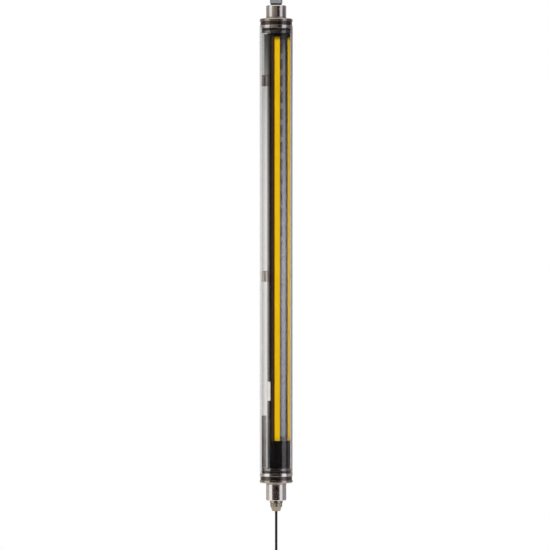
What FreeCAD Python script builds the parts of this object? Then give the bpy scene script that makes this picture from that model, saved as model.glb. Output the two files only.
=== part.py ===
"""Safety light curtain sealed in a clear protective tube.

The slim curtain profile stands inside a clear tube. A turned steel cap closes each end of the
tube, and a boss screwed through the cap into an adapter plate on the curtain pulls the two
together. The cable leaves through a gland under the lower boss, and a vent plug sits on top.

Millimetres, +Z up. The origin is on the tube's axis at half its length, and the curtain looks
along -Y.
"""

import FreeCAD
import Part
import math
import os

Vector = FreeCAD.Vector

# ---------------------------------------------------------------- driving dimensions
# Protective tube
tube_diameter = 60.0
tube_wall = 3.0
tube_length = 805.0
tube_edge_chamfer = 0.5

# Turned end caps
cap_undersize = 0.1             # how much smaller the cap's diameter is than the tube's
cap_ring_height = 5.2           # polished ring that seats on the tube's end
cap_groove_height = 7.2
cap_groove_depth = 1.2
cap_flange_height = 5.0
cap_flange_chamfer = 1.5
spigot_length = 9.3
curtain_gap = 0.2               # between the spigot's nose and the curtain's end
spigot_clearance = 0.25
spigot_wall = 6.25
o_ring_section = 3.5
o_ring_groove_width = 3.9
o_ring_setback = 2.9            # from the cap's shoulder to the middle of the O-ring
o_ring_clearance = 0.05
o_ring_squash = 1.0             # how far the pressed section's corners stand back

# Bosses and their washers
boss_diameter = 36.7
upper_boss_height = 21.0
lower_boss_height = 29.0
boss_chamfer = 1.2
boss_washer_height = 3.0
boss_washer_chamfer = 0.3
stem_diameter = 18.0
stem_clearance = 0.2
stem_end_margin = 0.8           # how far the stem's end stays inside the adapter
wire_bore_diameter = 6.4
spanner_hole_diameter = 4.5
spanner_hole_depth = 4.0

# Vent plug on the upper boss
vent_thread_diameter = 12.0
vent_thread_length = 11.0
vent_pocket_depth = 13.0
vent_head_diameter = 22.6
vent_head_height = 10.0
vent_head_chamfer = 1.6
vent_seal_diameter = 20.0
vent_seal_height = 3.6
vent_bore_diameter = 4.8
vent_chamber_diameter = 12.0
vent_chamber_floor = 4.5        # from the head's underside to the chamber's floor
vent_chamber_height = 2.5
vent_slot_count = 6
vent_slot_width = 2.0
vent_slot_height = 1.5
membrane_thickness = 0.4
membrane_clearance = 0.2

# Cable gland under the lower boss
gland_thread_diameter = 16.0
gland_thread_length = 11.0
gland_pocket_depth = 13.0
gland_washer_diameter = 23.0
gland_washer_height = 1.0
gland_hex_across_flats = 22.5
gland_hex_diameter = 24.4
gland_hex_height = 3.5
gland_sleeve_diameter = 15.2
gland_sleeve_length = 8.5
gland_sleeve_wall = 2.0
gland_nut_gap = 0.3
gland_nut_across_flats = 21.0
gland_nut_diameter = 22.6
gland_nut_hex_height = 6.5
gland_nut_height = 14.3
gland_nut_tip_diameter = 15.4
gland_nut_tip_chamfer = 1.0
gland_nut_chamfer = 0.8         # across the turned corners of the hexagon
gland_nut_chamfer_height = 0.6
gland_nut_wall = 3.0            # wall across the nut's end
gland_seal_seat = 2.0           # floor of the seal's pocket below the hexagon
gland_exit_clearance = 0.3

# Curtain: optics
beam_pitch = 30.0
field_end_margin = 4.5          # profile beyond the first and the last lens cell
upper_block_length = 6.2
lower_block_least = 40.0        # shortest end block that may close the bottom
gasket_thickness = 0.8

# Curtain: outer section of the profile
front_clearance = 4.4           # between the tube's bore and the middle of the front
corner_clearance = 1.12         # between the tube's bore and the curtain's widest corners
slant_depth = 4.0               # how far the front faces slant back to the sides
front_width = 17.2              # flat front between the slanted faces
profile_back = 2.9              # rear face of the body
rail_width = 20.0
rail_depth = 8.0
profile_corner_round = 1.0

# Curtain: strips and window
strip_thickness = 1.4
strip_margin = 0.9              # housing left bare between a strip and the widest corner
strip_corner_round = 0.4
shoulder_round = 0.8
window_recess = 0.2
window_side_gap = 0.1
window_total_depth = 4.3
window_wall = 1.5
window_pocket_half = 6.9        # half the hollow behind the window's face
window_flange_depth = 1.4
window_flange_reach = 1.5
window_groove_gap = 0.1

# Curtain: inside of the profile
side_wall = 2.0
rear_wall = 2.0
support_rib_depth = 1.4
throat_half_width = 8.9
slot_mouth_width = 8.2
slot_inner_width = 13.2
slot_lip = 2.4
slot_floor_rise = 1.2           # from the body's rear face to the T-slot's floor
screw_inset = 3.4               # from the side wall's inside to a screw's axis
screw_y = -8.0
screw_post_radius = 2.7
screw_hole_radius = 2.05
screw_web_half = 1.0            # half the web between a screw post and the side wall
board_rib_width = 4.5
board_rib_height = 4.3
carrier_rib_width = 4.2
carrier_rib_height = 1.2
gasket_side_gap = 0.6

# Lens strip, optics carrier, board and diodes
lens_width = 10.4
lens_height = 22.0
lens_rise = 1.5
lens_plate_width = 11.6
lens_plate_thickness = 1.2
lens_groove_depth = 1.6
lens_groove_gap = 0.1
carrier_post_gap = 0.9          # between the carrier and the screw posts
carrier_flange_gap = 3.5        # between the carrier's flange and the side wall
carrier_flange_depth = 1.5
carrier_nose = 2.3              # how far the carrier reaches into the window's hollow
carrier_nose_gap = 0.3
carrier_back_y = -8.2
carrier_gap = 0.1
well_radius = 4.9
stop_radius = 2.9
stop_depth = 2.6                # thickness of the aperture stop round the diode
board_side_gap = 2.0            # between the board's edge and the side wall
board_thickness = 1.6
board_gap = 0.1
board_upper_margin = 3.0
board_tail_length = 35.0        # the board's end inside the lower block
diode_radius = 2.5
diode_dome_height = 1.4
diode_dome_taper = 1.0
connector_width = 14.0
connector_depth = 7.0
connector_height = 14.0
connector_edge = 1.0
connector_from_board_end = 4.0

# End blocks, adapters and their screws
block_wall = 2.2
block_floor = 4.0
block_edge_round = 1.0
cable_hole_clearance = 0.6
adapter_thickness = 8.5
adapter_clearance = 0.3
adapter_chamfer = 0.6
screw_diameter = 4.0
screw_bite = 14.0               # length of the screw inside the profile
screw_head_diameter = 7.0
screw_head_height = 4.0
screw_head_play = 0.3
screw_sink = 4.4
screw_clearance = 0.2
hex_socket_across_flats = 3.0
hex_socket_depth = 2.2

# Spacer clips
clip_height = 20.0
clip_from_top = 78.5            # from the profile's upper end to the upper clip's middle
clip_spacing = 353.7
clip_clearance = 0.2
clip_wall = 2.6
clip_front_y = -3.5
clip_web = 2.6

# Labels
label_thickness = 0.2
side_label_rise = 106.5         # from the profile's lower end to the label's top
side_label_height = 34.5
side_label_width = 9.0
side_label_back_margin = 0.5
curved_label_clearance = 0.05
rating_label_rise = 94.5        # from the curtain's lower end to the label's top
rating_label_height = 88.0
rating_label_from = 97.0        # degrees round the tube from +X
rating_label_to = 143.0

# Cable
close_fit = 0.05                # radial gap between pieces pressed or screwed together
cable_diameter = 4.6
turn_pitch = 4.7                # spacing of neighbouring turns in the coil
coil_rows = 3
coil_columns = 4
coil_mean_radius = 24.0
cable_lead_drop = 97.0          # below the gland, where the straight drop ends
cable_side_drop = 132.0         # where the cable comes beside the coil
coil_split_drop = 148.0         # where the loose cable becomes the coil's solid
coil_drop = 166.0               # the coil's middle
coil_tail_length = 34.0
arc_share = 0.45                # share of the shorter run that each arc takes up
tie_width = 3.6
tie_thickness = 1.1
tie_clearance = 0.15
tie_head = 5.4
core_count = 5
core_diameter = 1.2
core_circle_radius = 1.4
core_length = 18.0
ferrule_collar_diameter = 1.5
ferrule_collar_length = 4.0
ferrule_pin_diameter = 1.0
ferrule_pin_length = 6.0

# ---------------------------------------------------------------- derived sizes
tube_end = tube_length / 2
tube_radius = tube_diameter / 2
bore_radius = tube_radius - tube_wall
cap_radius = (tube_diameter - cap_undersize) / 2
cap_height = cap_ring_height + cap_groove_height + cap_flange_height
spigot_radius = bore_radius - spigot_clearance
spigot_inner_radius = spigot_radius - spigot_wall
spigot_end = tube_end - spigot_length
o_ring_radius = o_ring_section / 2 - o_ring_clearance
o_ring_circle = bore_radius - o_ring_section / 2
cap_outer_face = tube_end + cap_height
boss_seat = cap_outer_face + boss_washer_height
upper_boss_top = boss_seat + upper_boss_height
lower_boss_end = boss_seat + lower_boss_height
stem_radius = stem_diameter / 2

curtain_end = spigot_end - curtain_gap
adapter_radius = spigot_inner_radius - adapter_clearance
stem_end = curtain_end + stem_end_margin
profile_top = curtain_end - upper_block_length - gasket_thickness
room_for_beams = (profile_top - 2 * field_end_margin + curtain_end
                  - lower_block_least - gasket_thickness)
beam_count = int(room_for_beams // beam_pitch)
profile_length = beam_pitch * beam_count + 2 * field_end_margin
profile_bottom = profile_top - profile_length
lower_block_length = profile_bottom - gasket_thickness + curtain_end
field_bottom = profile_bottom + field_end_margin
beam_heights = [field_bottom + beam_pitch * (i + 0.5) for i in range(beam_count)]

front_y = front_clearance - bore_radius
shoulder_y = front_y + slant_depth
half_width = math.sqrt((bore_radius - corner_clearance) ** 2 - shoulder_y ** 2)
half_front = front_width / 2
half_rail = rail_width / 2
rail_back = profile_back + rail_depth
slot_floor_y = profile_back + slot_floor_rise
slant = (shoulder_y - front_y) / (half_width - half_front)
strip_drop = strip_thickness * math.hypot(1.0, slant)
strip_edge = half_width - strip_margin
window_front = front_y + window_recess
window_back = window_front + window_total_depth
window_step = window_back - window_flange_depth
groove_front = window_step - window_groove_gap
groove_back = window_back + window_groove_gap
cavity_front = groove_back + support_rib_depth
cavity_back = profile_back - rear_wall
cavity_half = half_width - side_wall
screw_x = cavity_half - screw_inset
carrier_front = cavity_front + carrier_gap
carrier_rib_front = carrier_front + carrier_flange_depth + carrier_gap
carrier_nose_front = carrier_front - carrier_nose
carrier_nose_half = window_pocket_half - carrier_nose_gap
lens_back = carrier_nose_front + lens_groove_depth
lens_plate_front = lens_back - lens_plate_thickness
board_back = cavity_back - board_rib_height - board_gap
board_front = board_back - board_thickness
board_bottom = profile_bottom - board_tail_length
board_half = cavity_half - board_side_gap
cable_radius = cable_diameter / 2
vent_head_base = upper_boss_top + vent_seal_height
gland_hex_top = -lower_boss_end - gland_washer_height
gland_hex_bottom = gland_hex_top - gland_hex_height
gland_nut_top = gland_hex_bottom - gland_nut_gap
cable_exit_z = gland_nut_top - gland_nut_height
connector_bottom = board_bottom + connector_from_board_end
connector_top = connector_bottom + connector_height

upper_clip_height = profile_top - clip_from_top
lower_clip_height = upper_clip_height - clip_spacing
side_label_top = profile_bottom + side_label_rise
rating_label_top = rating_label_rise - curtain_end
cable_lead_z = cable_exit_z - cable_lead_drop
cable_side_z = cable_exit_z - cable_side_drop
coil_centre_z = cable_exit_z - coil_drop
coil_split_z = cable_exit_z - coil_split_drop

parts = {}


# ---------------------------------------------------------------- shape helpers
def outline(points, place=lambda u, v: Vector(u, v, 0)):
    """Face bounded by straight runs; a third number in a point rounds its corner."""
    count = len(points)
    edges = []
    starts = []
    ends = []
    arcs = []
    for i, point in enumerate(points):
        here = Vector(point[0], point[1], 0)
        radius = point[2] if len(point) > 2 else 0.0
        before = Vector(points[i - 1][0], points[i - 1][1], 0) - here
        after = Vector(points[(i + 1) % count][0], points[(i + 1) % count][1], 0) - here
        if radius <= 0:
            starts.append(here)
            ends.append(here)
            arcs.append(None)
            continue
        before.normalize()
        after.normalize()
        half = before.getAngle(after) / 2
        cut = radius / math.tan(half)
        middle = (before + after).normalize()
        centre = here + middle * (radius / math.sin(half))
        starts.append(here + before * cut)
        ends.append(here + after * cut)
        arcs.append(centre - middle * radius)
    for i in range(count):
        if arcs[i] is not None:
            corner = [place(p.x, p.y) for p in (starts[i], arcs[i], ends[i])]
            edges.append(Part.Arc(*corner).toShape())
        a = place(ends[i].x, ends[i].y)
        b = place(starts[(i + 1) % count].x, starts[(i + 1) % count].y)
        if a.distanceToPoint(b) > 1e-6:
            edges.append(Part.LineSegment(a, b).toShape())
    return Part.Face(Part.Wire(edges))


def prism(points, bottom, top):
    """Straight extrusion along Z of an outline in the XY plane."""
    face = outline(points, lambda u, v: Vector(u, v, bottom))
    return face.extrude(Vector(0, 0, top - bottom))


def turned(points):
    """Solid of revolution about Z from an outline in (radius, height)."""
    face = outline(points, lambda u, v: Vector(u, 0, v))
    return face.revolve(Vector(0, 0, 0), Vector(0, 0, 1), 360)


def rod(radius, bottom, top, x=0.0, y=0.0):
    """Upright cylinder between two heights."""
    return Part.makeCylinder(radius, top - bottom, Vector(x, y, bottom))


def block(x_from, x_to, y_from, y_to, bottom, top):
    """Box given by its limits."""
    size = (x_to - x_from, y_to - y_from, top - bottom)
    return Part.makeBox(*size, Vector(x_from, y_from, bottom))


def hexagon(across_flats, bottom, top, x=0.0, y=0.0):
    """Upright hexagonal prism."""
    reach = across_flats / math.sqrt(3)
    corners = []
    for i in range(6):
        angle = math.radians(60 * i)
        corners.append((x + reach * math.cos(angle), y + reach * math.sin(angle)))
    return prism(corners, bottom, top)


def flipped(shape):
    """The same piece for the other end of the tube."""
    return shape.mirror(Vector(0, 0, 0), Vector(0, 0, 1))


def left_of(shape):
    """Mirror image across the middle plane of the curtain."""
    return shape.mirror(Vector(0, 0, 0), Vector(1, 0, 0))


def mirrored_outline(right_side):
    """Closed outline from the points of its right side, listed from front to back."""
    left_side = [(-p[0],) + tuple(p[1:]) for p in reversed(right_side)]
    return right_side + left_side


def front_line(x, drop=0.0):
    """Depth of the slanted front at a distance from the middle, drop behind its surface."""
    return front_y + slant * (x - half_front) + drop


def screw_places():
    """The two places of the screws that go up and down the curtain."""
    return [(-screw_x, screw_y), (screw_x, screw_y)]


# ---------------------------------------------------------------- tube and caps
def make_tube():
    """Clear tube with its cut edges broken."""
    c = tube_edge_chamfer
    section = [
        (bore_radius, -tube_end + c),
        (bore_radius + c, -tube_end),
        (tube_radius - c, -tube_end),
        (tube_radius, -tube_end + c),
        (tube_radius, tube_end - c),
        (tube_radius - c, tube_end),
        (bore_radius + c, tube_end),
        (bore_radius, tube_end - c),
    ]
    return turned(section)


def make_cap():
    """Upper end cap: spigot with its O-ring groove, polished ring, groove and flange."""
    ring_top = tube_end + cap_ring_height
    groove_top = ring_top + cap_groove_height
    groove_middle = tube_end - o_ring_setback
    groove_low = groove_middle - o_ring_groove_width / 2
    groove_high = groove_middle + o_ring_groove_width / 2
    groove_floor = bore_radius - o_ring_section
    section = [
        (stem_radius + stem_clearance, tube_end),
        (spigot_inner_radius, tube_end),
        (spigot_inner_radius, spigot_end),
        (spigot_radius - spigot_clearance, spigot_end),
        (spigot_radius, spigot_end + spigot_clearance),
        (spigot_radius, groove_low),
        (groove_floor, groove_low),
        (groove_floor, groove_high),
        (spigot_radius, groove_high),
        (spigot_radius, tube_end),
        (cap_radius, tube_end),
        (cap_radius, ring_top),
        (cap_radius - cap_groove_depth, ring_top),
        (cap_radius - cap_groove_depth, groove_top),
        (cap_radius, groove_top),
        (cap_radius, cap_outer_face - cap_flange_chamfer),
        (cap_radius - cap_flange_chamfer, cap_outer_face),
        (stem_radius + stem_clearance, cap_outer_face),
    ]
    return turned(section)


def make_o_ring():
    """O-ring in the groove of the upper cap's spigot, pressed flat on the bore and the floor."""
    middle = tube_end - o_ring_setback
    half = o_ring_radius
    flat = half - o_ring_squash
    section = [
        (o_ring_circle - half, middle - flat),
        (o_ring_circle - flat, middle - half),
        (o_ring_circle + flat, middle - half),
        (o_ring_circle + half, middle - flat),
        (o_ring_circle + half, middle + flat),
        (o_ring_circle + flat, middle + half),
        (o_ring_circle - flat, middle + half),
        (o_ring_circle - half, middle + flat),
    ]
    return turned(section)


# ---------------------------------------------------------------- bosses
def make_boss_washer():
    """Sealing washer between the upper cap and its boss."""
    inner = stem_radius + stem_clearance
    outer = boss_diameter / 2
    c = boss_washer_chamfer
    section = [
        (inner, cap_outer_face),
        (outer - c, cap_outer_face),
        (outer, cap_outer_face + c),
        (outer, boss_seat - c),
        (outer - c, boss_seat),
        (inner, boss_seat),
    ]
    return turned(section)


def make_boss(height, pocket_diameter, pocket_depth):
    """Boss above the upper cap: hollow stem into the adapter and a threaded pocket on top."""
    top = boss_seat + height
    radius = boss_diameter / 2
    wire = wire_bore_diameter / 2
    pocket = pocket_diameter / 2
    section = [
        (wire, stem_end),
        (stem_radius - boss_chamfer, stem_end),
        (stem_radius, stem_end + boss_chamfer),
        (stem_radius, boss_seat),
        (radius - boss_washer_chamfer, boss_seat),
        (radius, boss_seat + boss_washer_chamfer),
        (radius, top - boss_chamfer),
        (radius - boss_chamfer, top),
        (pocket, top),
        (pocket, top - pocket_depth),
        (wire, top - pocket_depth),
    ]
    body = turned(section)
    hole = Part.makeCylinder(
        spanner_hole_diameter / 2,
        2 * spanner_hole_depth,
        Vector(0, radius - spanner_hole_depth, boss_seat + height / 2),
        Vector(0, 1, 0),
    )
    return body.cut(hole)


# ---------------------------------------------------------------- vent
def make_vent_plug():
    """Vent plug: threaded shank, round head and slots that let the chamber breathe."""
    shank_end = upper_boss_top - vent_thread_length
    head_top = vent_head_base + vent_head_height
    shank = vent_thread_diameter / 2
    head = vent_head_diameter / 2
    body = turned([
        (0, shank_end),
        (shank, shank_end),
        (shank, vent_head_base),
        (head, vent_head_base),
        (head, head_top - vent_head_chamfer),
        (head - vent_head_chamfer, head_top),
        (0, head_top),
    ])
    floor = vent_head_base + vent_chamber_floor
    bore = rod(vent_bore_diameter / 2, shank_end, floor)
    chamber = rod(vent_chamber_diameter / 2, floor, floor + vent_chamber_height)
    body = body.cut(bore.fuse(chamber))
    slot_top = floor + vent_chamber_height
    for i in range(vent_slot_count):
        half = vent_slot_width / 2
        slot = block(0, head, -half, half, slot_top - vent_slot_height, slot_top)
        slot.rotate(Vector(0, 0, 0), Vector(0, 0, 1), 360 / vent_slot_count * i)
        body = body.cut(slot)
    return body


def make_vent_membrane():
    """Membrane disc on the chamber's floor."""
    floor = vent_head_base + vent_chamber_floor
    return rod(vent_chamber_diameter / 2 - membrane_clearance, floor, floor + membrane_thickness)


def make_vent_seal():
    """Seal ring between the upper boss and the vent plug's head."""
    outer = rod(vent_seal_diameter / 2, upper_boss_top, vent_head_base)
    hole = rod(vent_thread_diameter / 2, upper_boss_top, vent_head_base)
    return outer.cut(hole)


# ---------------------------------------------------------------- cable gland
def make_gland_washer():
    """Flat washer between the lower boss and the gland's hexagon."""
    outer = rod(gland_washer_diameter / 2, gland_hex_top, -lower_boss_end)
    return outer.cut(rod(gland_thread_diameter / 2, gland_hex_top, -lower_boss_end))


def make_gland_body():
    """Gland body: thread into the boss, hexagon with turned corners and the seal's sleeve."""
    sleeve_end = gland_hex_bottom - gland_sleeve_length
    thread = rod(gland_thread_diameter / 2, gland_hex_top, gland_thread_length - lower_boss_end)
    collar = hexagon(gland_hex_across_flats, gland_hex_bottom, gland_hex_top)
    collar = collar.common(rod(gland_hex_diameter / 2, gland_hex_bottom, gland_hex_top))
    sleeve = rod(gland_sleeve_diameter / 2, sleeve_end, gland_hex_bottom)
    body = thread.fuse([collar, sleeve]).removeSplitter()
    seal_radius = gland_sleeve_diameter / 2 - gland_sleeve_wall
    pocket = rod(seal_radius, sleeve_end, gland_hex_bottom - gland_seal_seat)
    passage = rod(wire_bore_diameter / 2, sleeve_end, gland_thread_length - lower_boss_end)
    return body.cut(pocket.fuse(passage))


def make_gland_nut():
    """Domed nut: hexagon with turned corners above, a taper towards the cable below."""
    radius = gland_nut_diameter / 2
    tip = gland_nut_tip_diameter / 2
    hex_bottom = gland_nut_top - gland_nut_hex_height
    envelope = turned([
        (0, cable_exit_z),
        (tip - gland_nut_tip_chamfer, cable_exit_z),
        (tip, cable_exit_z + gland_nut_tip_chamfer),
        (gland_nut_across_flats / 2 - gland_nut_chamfer, hex_bottom),
        (radius, hex_bottom + gland_nut_chamfer_height),
        (radius, gland_nut_top - gland_nut_chamfer_height),
        (radius - gland_nut_chamfer, gland_nut_top),
        (0, gland_nut_top),
    ])
    lower = rod(radius, cable_exit_z, hex_bottom)
    body = envelope.common(hexagon(gland_nut_across_flats, hex_bottom, gland_nut_top).fuse(lower))
    bore_end = gland_hex_bottom - gland_sleeve_length - gland_nut_gap
    thread = rod(gland_sleeve_diameter / 2 + close_fit, bore_end, gland_nut_top)
    seal_radius = gland_sleeve_diameter / 2 - gland_sleeve_wall
    seal_room = rod(seal_radius, cable_exit_z + gland_nut_wall, bore_end)
    mouth = rod(cable_radius + gland_exit_clearance, cable_exit_z, bore_end)
    return body.cut(thread.fuse([seal_room, mouth]))


def make_gland_seal():
    """Rubber bush squeezed round the cable inside the gland."""
    radius = gland_sleeve_diameter / 2 - gland_sleeve_wall - close_fit
    low = cable_exit_z + gland_nut_wall + close_fit
    high = gland_hex_bottom - gland_seal_seat - close_fit
    hole = rod(cable_radius + close_fit, low, high)
    return rod(radius, low, high).cut(hole)


# ---------------------------------------------------------------- curtain section
def body_outline(grow=0.0, corner=profile_corner_round):
    """Outer section of the curtain with its strips on, with its rear rail."""
    return mirrored_outline([
        (half_front + grow, window_front - grow),
        (half_width + grow, shoulder_y - grow, shoulder_round),
        (half_width + grow, profile_back + grow, corner),
        (half_rail + grow, profile_back + grow),
        (half_rail + grow, rail_back + grow, corner),
    ])


def make_strip():
    """Right-hand yellow strip, let into the slanted face of the housing."""
    section = [
        (half_front, front_y),
        (strip_edge, front_line(strip_edge), strip_corner_round),
        (strip_edge, front_line(strip_edge, strip_drop)),
        (half_front, front_line(half_front, strip_drop)),
    ]
    return prism(section, profile_bottom, profile_top)


def make_window():
    """Front window: hollow face between the strips and a flange under the profile's lips."""
    face = half_front - window_side_gap
    flange = half_front + window_flange_reach
    section = mirrored_outline([
        (face, window_front),
        (face, window_step),
        (flange, window_step),
        (flange, window_back),
        (window_pocket_half, window_back),
        (window_pocket_half, window_front + window_wall),
    ])
    return prism(section, profile_bottom, profile_top)


def profile_cavities(low, high):
    """Everything open inside the profile, from the window to the rear wall."""
    groove = half_front + window_flange_reach + window_groove_gap
    opening = block(-half_front, half_front, front_y, groove_back, low, high)
    window_groove = block(-groove, groove, groove_front, groove_back, low, high)
    throat = block(-throat_half_width, throat_half_width, groove_front, cavity_front, low, high)
    room = block(-cavity_half, cavity_half, cavity_front, cavity_back, low, high)
    for side in (-1, 1):
        edges = sorted((side * (cavity_half - board_rib_width), side * cavity_half))
        rib = block(edges[0], edges[1], cavity_back - board_rib_height, cavity_back, low, high)
        edges = sorted((side * (cavity_half - carrier_rib_width), side * cavity_half))
        stop = block(edges[0], edges[1], carrier_rib_front, carrier_rib_front + carrier_rib_height,
                     low, high)
        post = rod(screw_post_radius, low, high, side * screw_x, screw_y)
        reach = sorted((side * screw_x, side * cavity_half))
        web = block(reach[0], reach[1], screw_y - screw_web_half, screw_y + screw_web_half, low, high)
        room = room.cut(rib.fuse([stop, post, web]))
    return opening.fuse([window_groove, throat, room])


def make_profile():
    """Extruded housing: slanted front, window groove, screw posts, board ribs and rear T-slot."""
    section = mirrored_outline([
        (half_front, front_line(half_front, strip_drop)),
        (strip_edge, front_line(strip_edge, strip_drop)),
        (strip_edge, front_line(strip_edge)),
        (half_width, shoulder_y, shoulder_round),
        (half_width, profile_back, profile_corner_round),
        (half_rail, profile_back),
        (half_rail, rail_back, profile_corner_round),
    ])
    body = prism(section, profile_bottom, profile_top)
    half_mouth = slot_mouth_width / 2
    half_inner = slot_inner_width / 2
    slot_top = rail_back - slot_lip
    mouth = block(-half_mouth, half_mouth, slot_floor_y, rail_back, profile_bottom, profile_top)
    inner = block(-half_inner, half_inner, slot_floor_y, slot_top, profile_bottom, profile_top)
    openings = profile_cavities(profile_bottom, profile_top).fuse([mouth, inner])
    for x, y in screw_places():
        openings = openings.fuse(rod(screw_hole_radius, profile_bottom, profile_top, x, y))
    return body.cut(openings)


# ---------------------------------------------------------------- optics and board
def make_lens(height):
    """One tall lens: an arched bar between two half-turned ends."""
    half = lens_width / 2
    curve = (half ** 2 + lens_rise ** 2) / (2 * lens_rise)
    turn = math.asin(half / curve) / 2
    left = Vector(-half, lens_plate_front, 0)
    right = Vector(half, lens_plate_front, 0)
    foot = Vector(0, lens_plate_front, 0)
    apex = Vector(0, lens_plate_front - lens_rise, 0)
    shoulder = apex + Vector(curve * math.sin(turn), curve * (1 - math.cos(turn)), 0)
    arch = Part.Wire([Part.Arc(left, apex, right).toShape(), Part.makeLine(right, left)])
    half_arch = Part.Wire([Part.Arc(apex, shoulder, right).toShape(),
                           Part.makeLine(right, foot), Part.makeLine(foot, apex)])
    straight = lens_height - lens_width
    bar = Part.Face(arch).translated(Vector(0, 0, height - straight / 2))
    pieces = [bar.extrude(Vector(0, 0, straight))]
    for way in (-1, 1):
        start = Vector(0, 0, height + way * straight / 2)
        end = Part.Face(half_arch).translated(start)
        pieces.append(end.revolve(start, Vector(0, 1, 0), -way * 180))
    return pieces


def make_lens_strip():
    """Strip with one tall lens for each beam."""
    half = lens_plate_width / 2
    low = field_bottom
    high = field_bottom + beam_pitch * beam_count
    plate = block(-half, half, lens_plate_front, lens_back, low, high)
    return plate.fuse([piece for height in beam_heights for piece in make_lens(height)])


def make_carrier():
    """Optics carrier: flanged bar with a light well and an aperture stop for each beam."""
    half = screw_x - screw_post_radius - carrier_post_gap
    flange = cavity_half - carrier_flange_gap
    step = carrier_front + carrier_flange_depth
    seat = lens_plate_width / 2 + lens_groove_gap
    section = mirrored_outline([
        (seat, lens_back),
        (seat, carrier_nose_front),
        (carrier_nose_half, carrier_nose_front),
        (carrier_nose_half, carrier_front),
        (flange, carrier_front),
        (flange, step),
        (half, step),
        (half, carrier_back_y),
    ])
    bar = prism(section, field_bottom, field_bottom + beam_pitch * beam_count)
    depth = carrier_back_y - lens_back
    back = Vector(0, 1, 0)
    wells = []
    for height in beam_heights:
        start = Vector(0, lens_back, height)
        wells.append(Part.makeCylinder(well_radius, depth - stop_depth, start, back))
        wells.append(Part.makeCylinder(stop_radius, depth, start, back))
    return bar.cut(wells)


def make_board():
    """Circuit board on its ribs, with its end reaching into the lower block."""
    top = profile_top - board_upper_margin
    return block(-board_half, board_half, board_front, board_back, board_bottom, top)


def make_diodes():
    """One diode for each beam, from the board into the carrier's wells."""
    tip = carrier_back_y - diode_dome_height
    section = [
        (0, board_front),
        (diode_radius, board_front),
        (diode_radius, carrier_back_y),
        (diode_radius - diode_dome_taper, tip),
        (0, tip),
    ]
    solids = []
    for height in beam_heights:
        face = outline(section, lambda u, v, z=height: Vector(u, v, z))
        solids.append(face.revolve(Vector(0, 0, height), Vector(0, 1, 0), 360))
    return Part.makeCompound(solids)


def make_connector():
    """Plug on the back of the board's lower end, round the cable's end."""
    half = connector_width / 2
    body = block(-half, half, board_back, board_back + connector_depth,
                 connector_bottom, connector_top)
    edges = [e for e in body.Edges if e.BoundBox.ZLength > connector_edge]
    return body.makeFillet(connector_edge, edges)


# ---------------------------------------------------------------- ends of the curtain
def make_gasket(low):
    """Flat gasket between the profile and an end block."""
    high = low + gasket_thickness
    sheet = prism(body_outline(), low, high)
    half = board_half + gasket_side_gap
    room = block(-half, half, cavity_front, cavity_back, low, high)
    for x, y in screw_places():
        room = room.cut(rod(screw_post_radius, low, high, x, y))
        sheet = sheet.cut(rod(screw_diameter / 2 + screw_clearance, low, high, x, y))
    return sheet.cut(room)


def make_upper_block():
    """Thin end block on top of the profile."""
    low = profile_top + gasket_thickness
    body = prism(body_outline(), low, curtain_end)
    for x, y in screw_places():
        body = body.cut(rod(screw_diameter / 2 + screw_clearance, low, curtain_end, x, y))
    return body


def make_lower_block():
    """Deep end block: a cup with screw posts, open towards the profile."""
    high = profile_bottom - gasket_thickness
    low = -curtain_end
    body = prism(body_outline(), low, high)
    front = cavity_front
    half = half_width - block_wall
    half_rear = half_rail - block_wall
    room = prism(mirrored_outline([
        (half, front, block_edge_round),
        (half, profile_back - block_wall, block_edge_round),
        (half_rear, profile_back - block_wall),
        (half_rear, rail_back - block_wall, block_edge_round),
    ]), low + block_floor, high)
    for x, y in screw_places():
        room = room.cut(rod(screw_post_radius, low, high, x, y))
        edges = sorted((x, math.copysign(half_width, x)))
        room = room.cut(block(edges[0], edges[1], y - screw_web_half, y + screw_web_half,
                              low, high))
    body = body.cut(room)
    for x, y in screw_places():
        body = body.cut(rod(screw_diameter / 2 + screw_clearance, low, high, x, y))
    return body.cut(rod(cable_radius + cable_hole_clearance, low, low + block_floor))


def make_adapter():
    """Upper adapter: turned plate with the boss's thread and two sunk screw holes."""
    low = curtain_end
    high = curtain_end + adapter_thickness
    c = adapter_chamfer
    body = turned([
        (stem_radius, low),
        (adapter_radius - c, low),
        (adapter_radius, low + c),
        (adapter_radius, high - c),
        (adapter_radius - c, high),
        (stem_radius, high),
    ])
    sink_radius = screw_head_diameter / 2 + screw_head_play
    for x, y in screw_places():
        body = body.cut(rod(screw_diameter / 2 + screw_clearance, low, high, x, y))
        body = body.cut(rod(sink_radius, high - screw_sink, high, x, y))
    return body


def make_screws(block_length):
    """Pair of socket screws through adapter, block and gasket into the upper end."""
    seat = curtain_end + adapter_thickness - screw_sink
    tip = curtain_end - block_length - gasket_thickness - screw_bite
    solids = []
    for x, y in screw_places():
        shank = rod(screw_diameter / 2, tip, seat, x, y)
        head = rod(screw_head_diameter / 2, seat, seat + screw_head_height, x, y)
        top = seat + screw_head_height
        socket = hexagon(hex_socket_across_flats, top - hex_socket_depth, top, x, y)
        solids.append(shank.fuse(head).cut(socket))
    return Part.makeCompound(solids)


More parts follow.
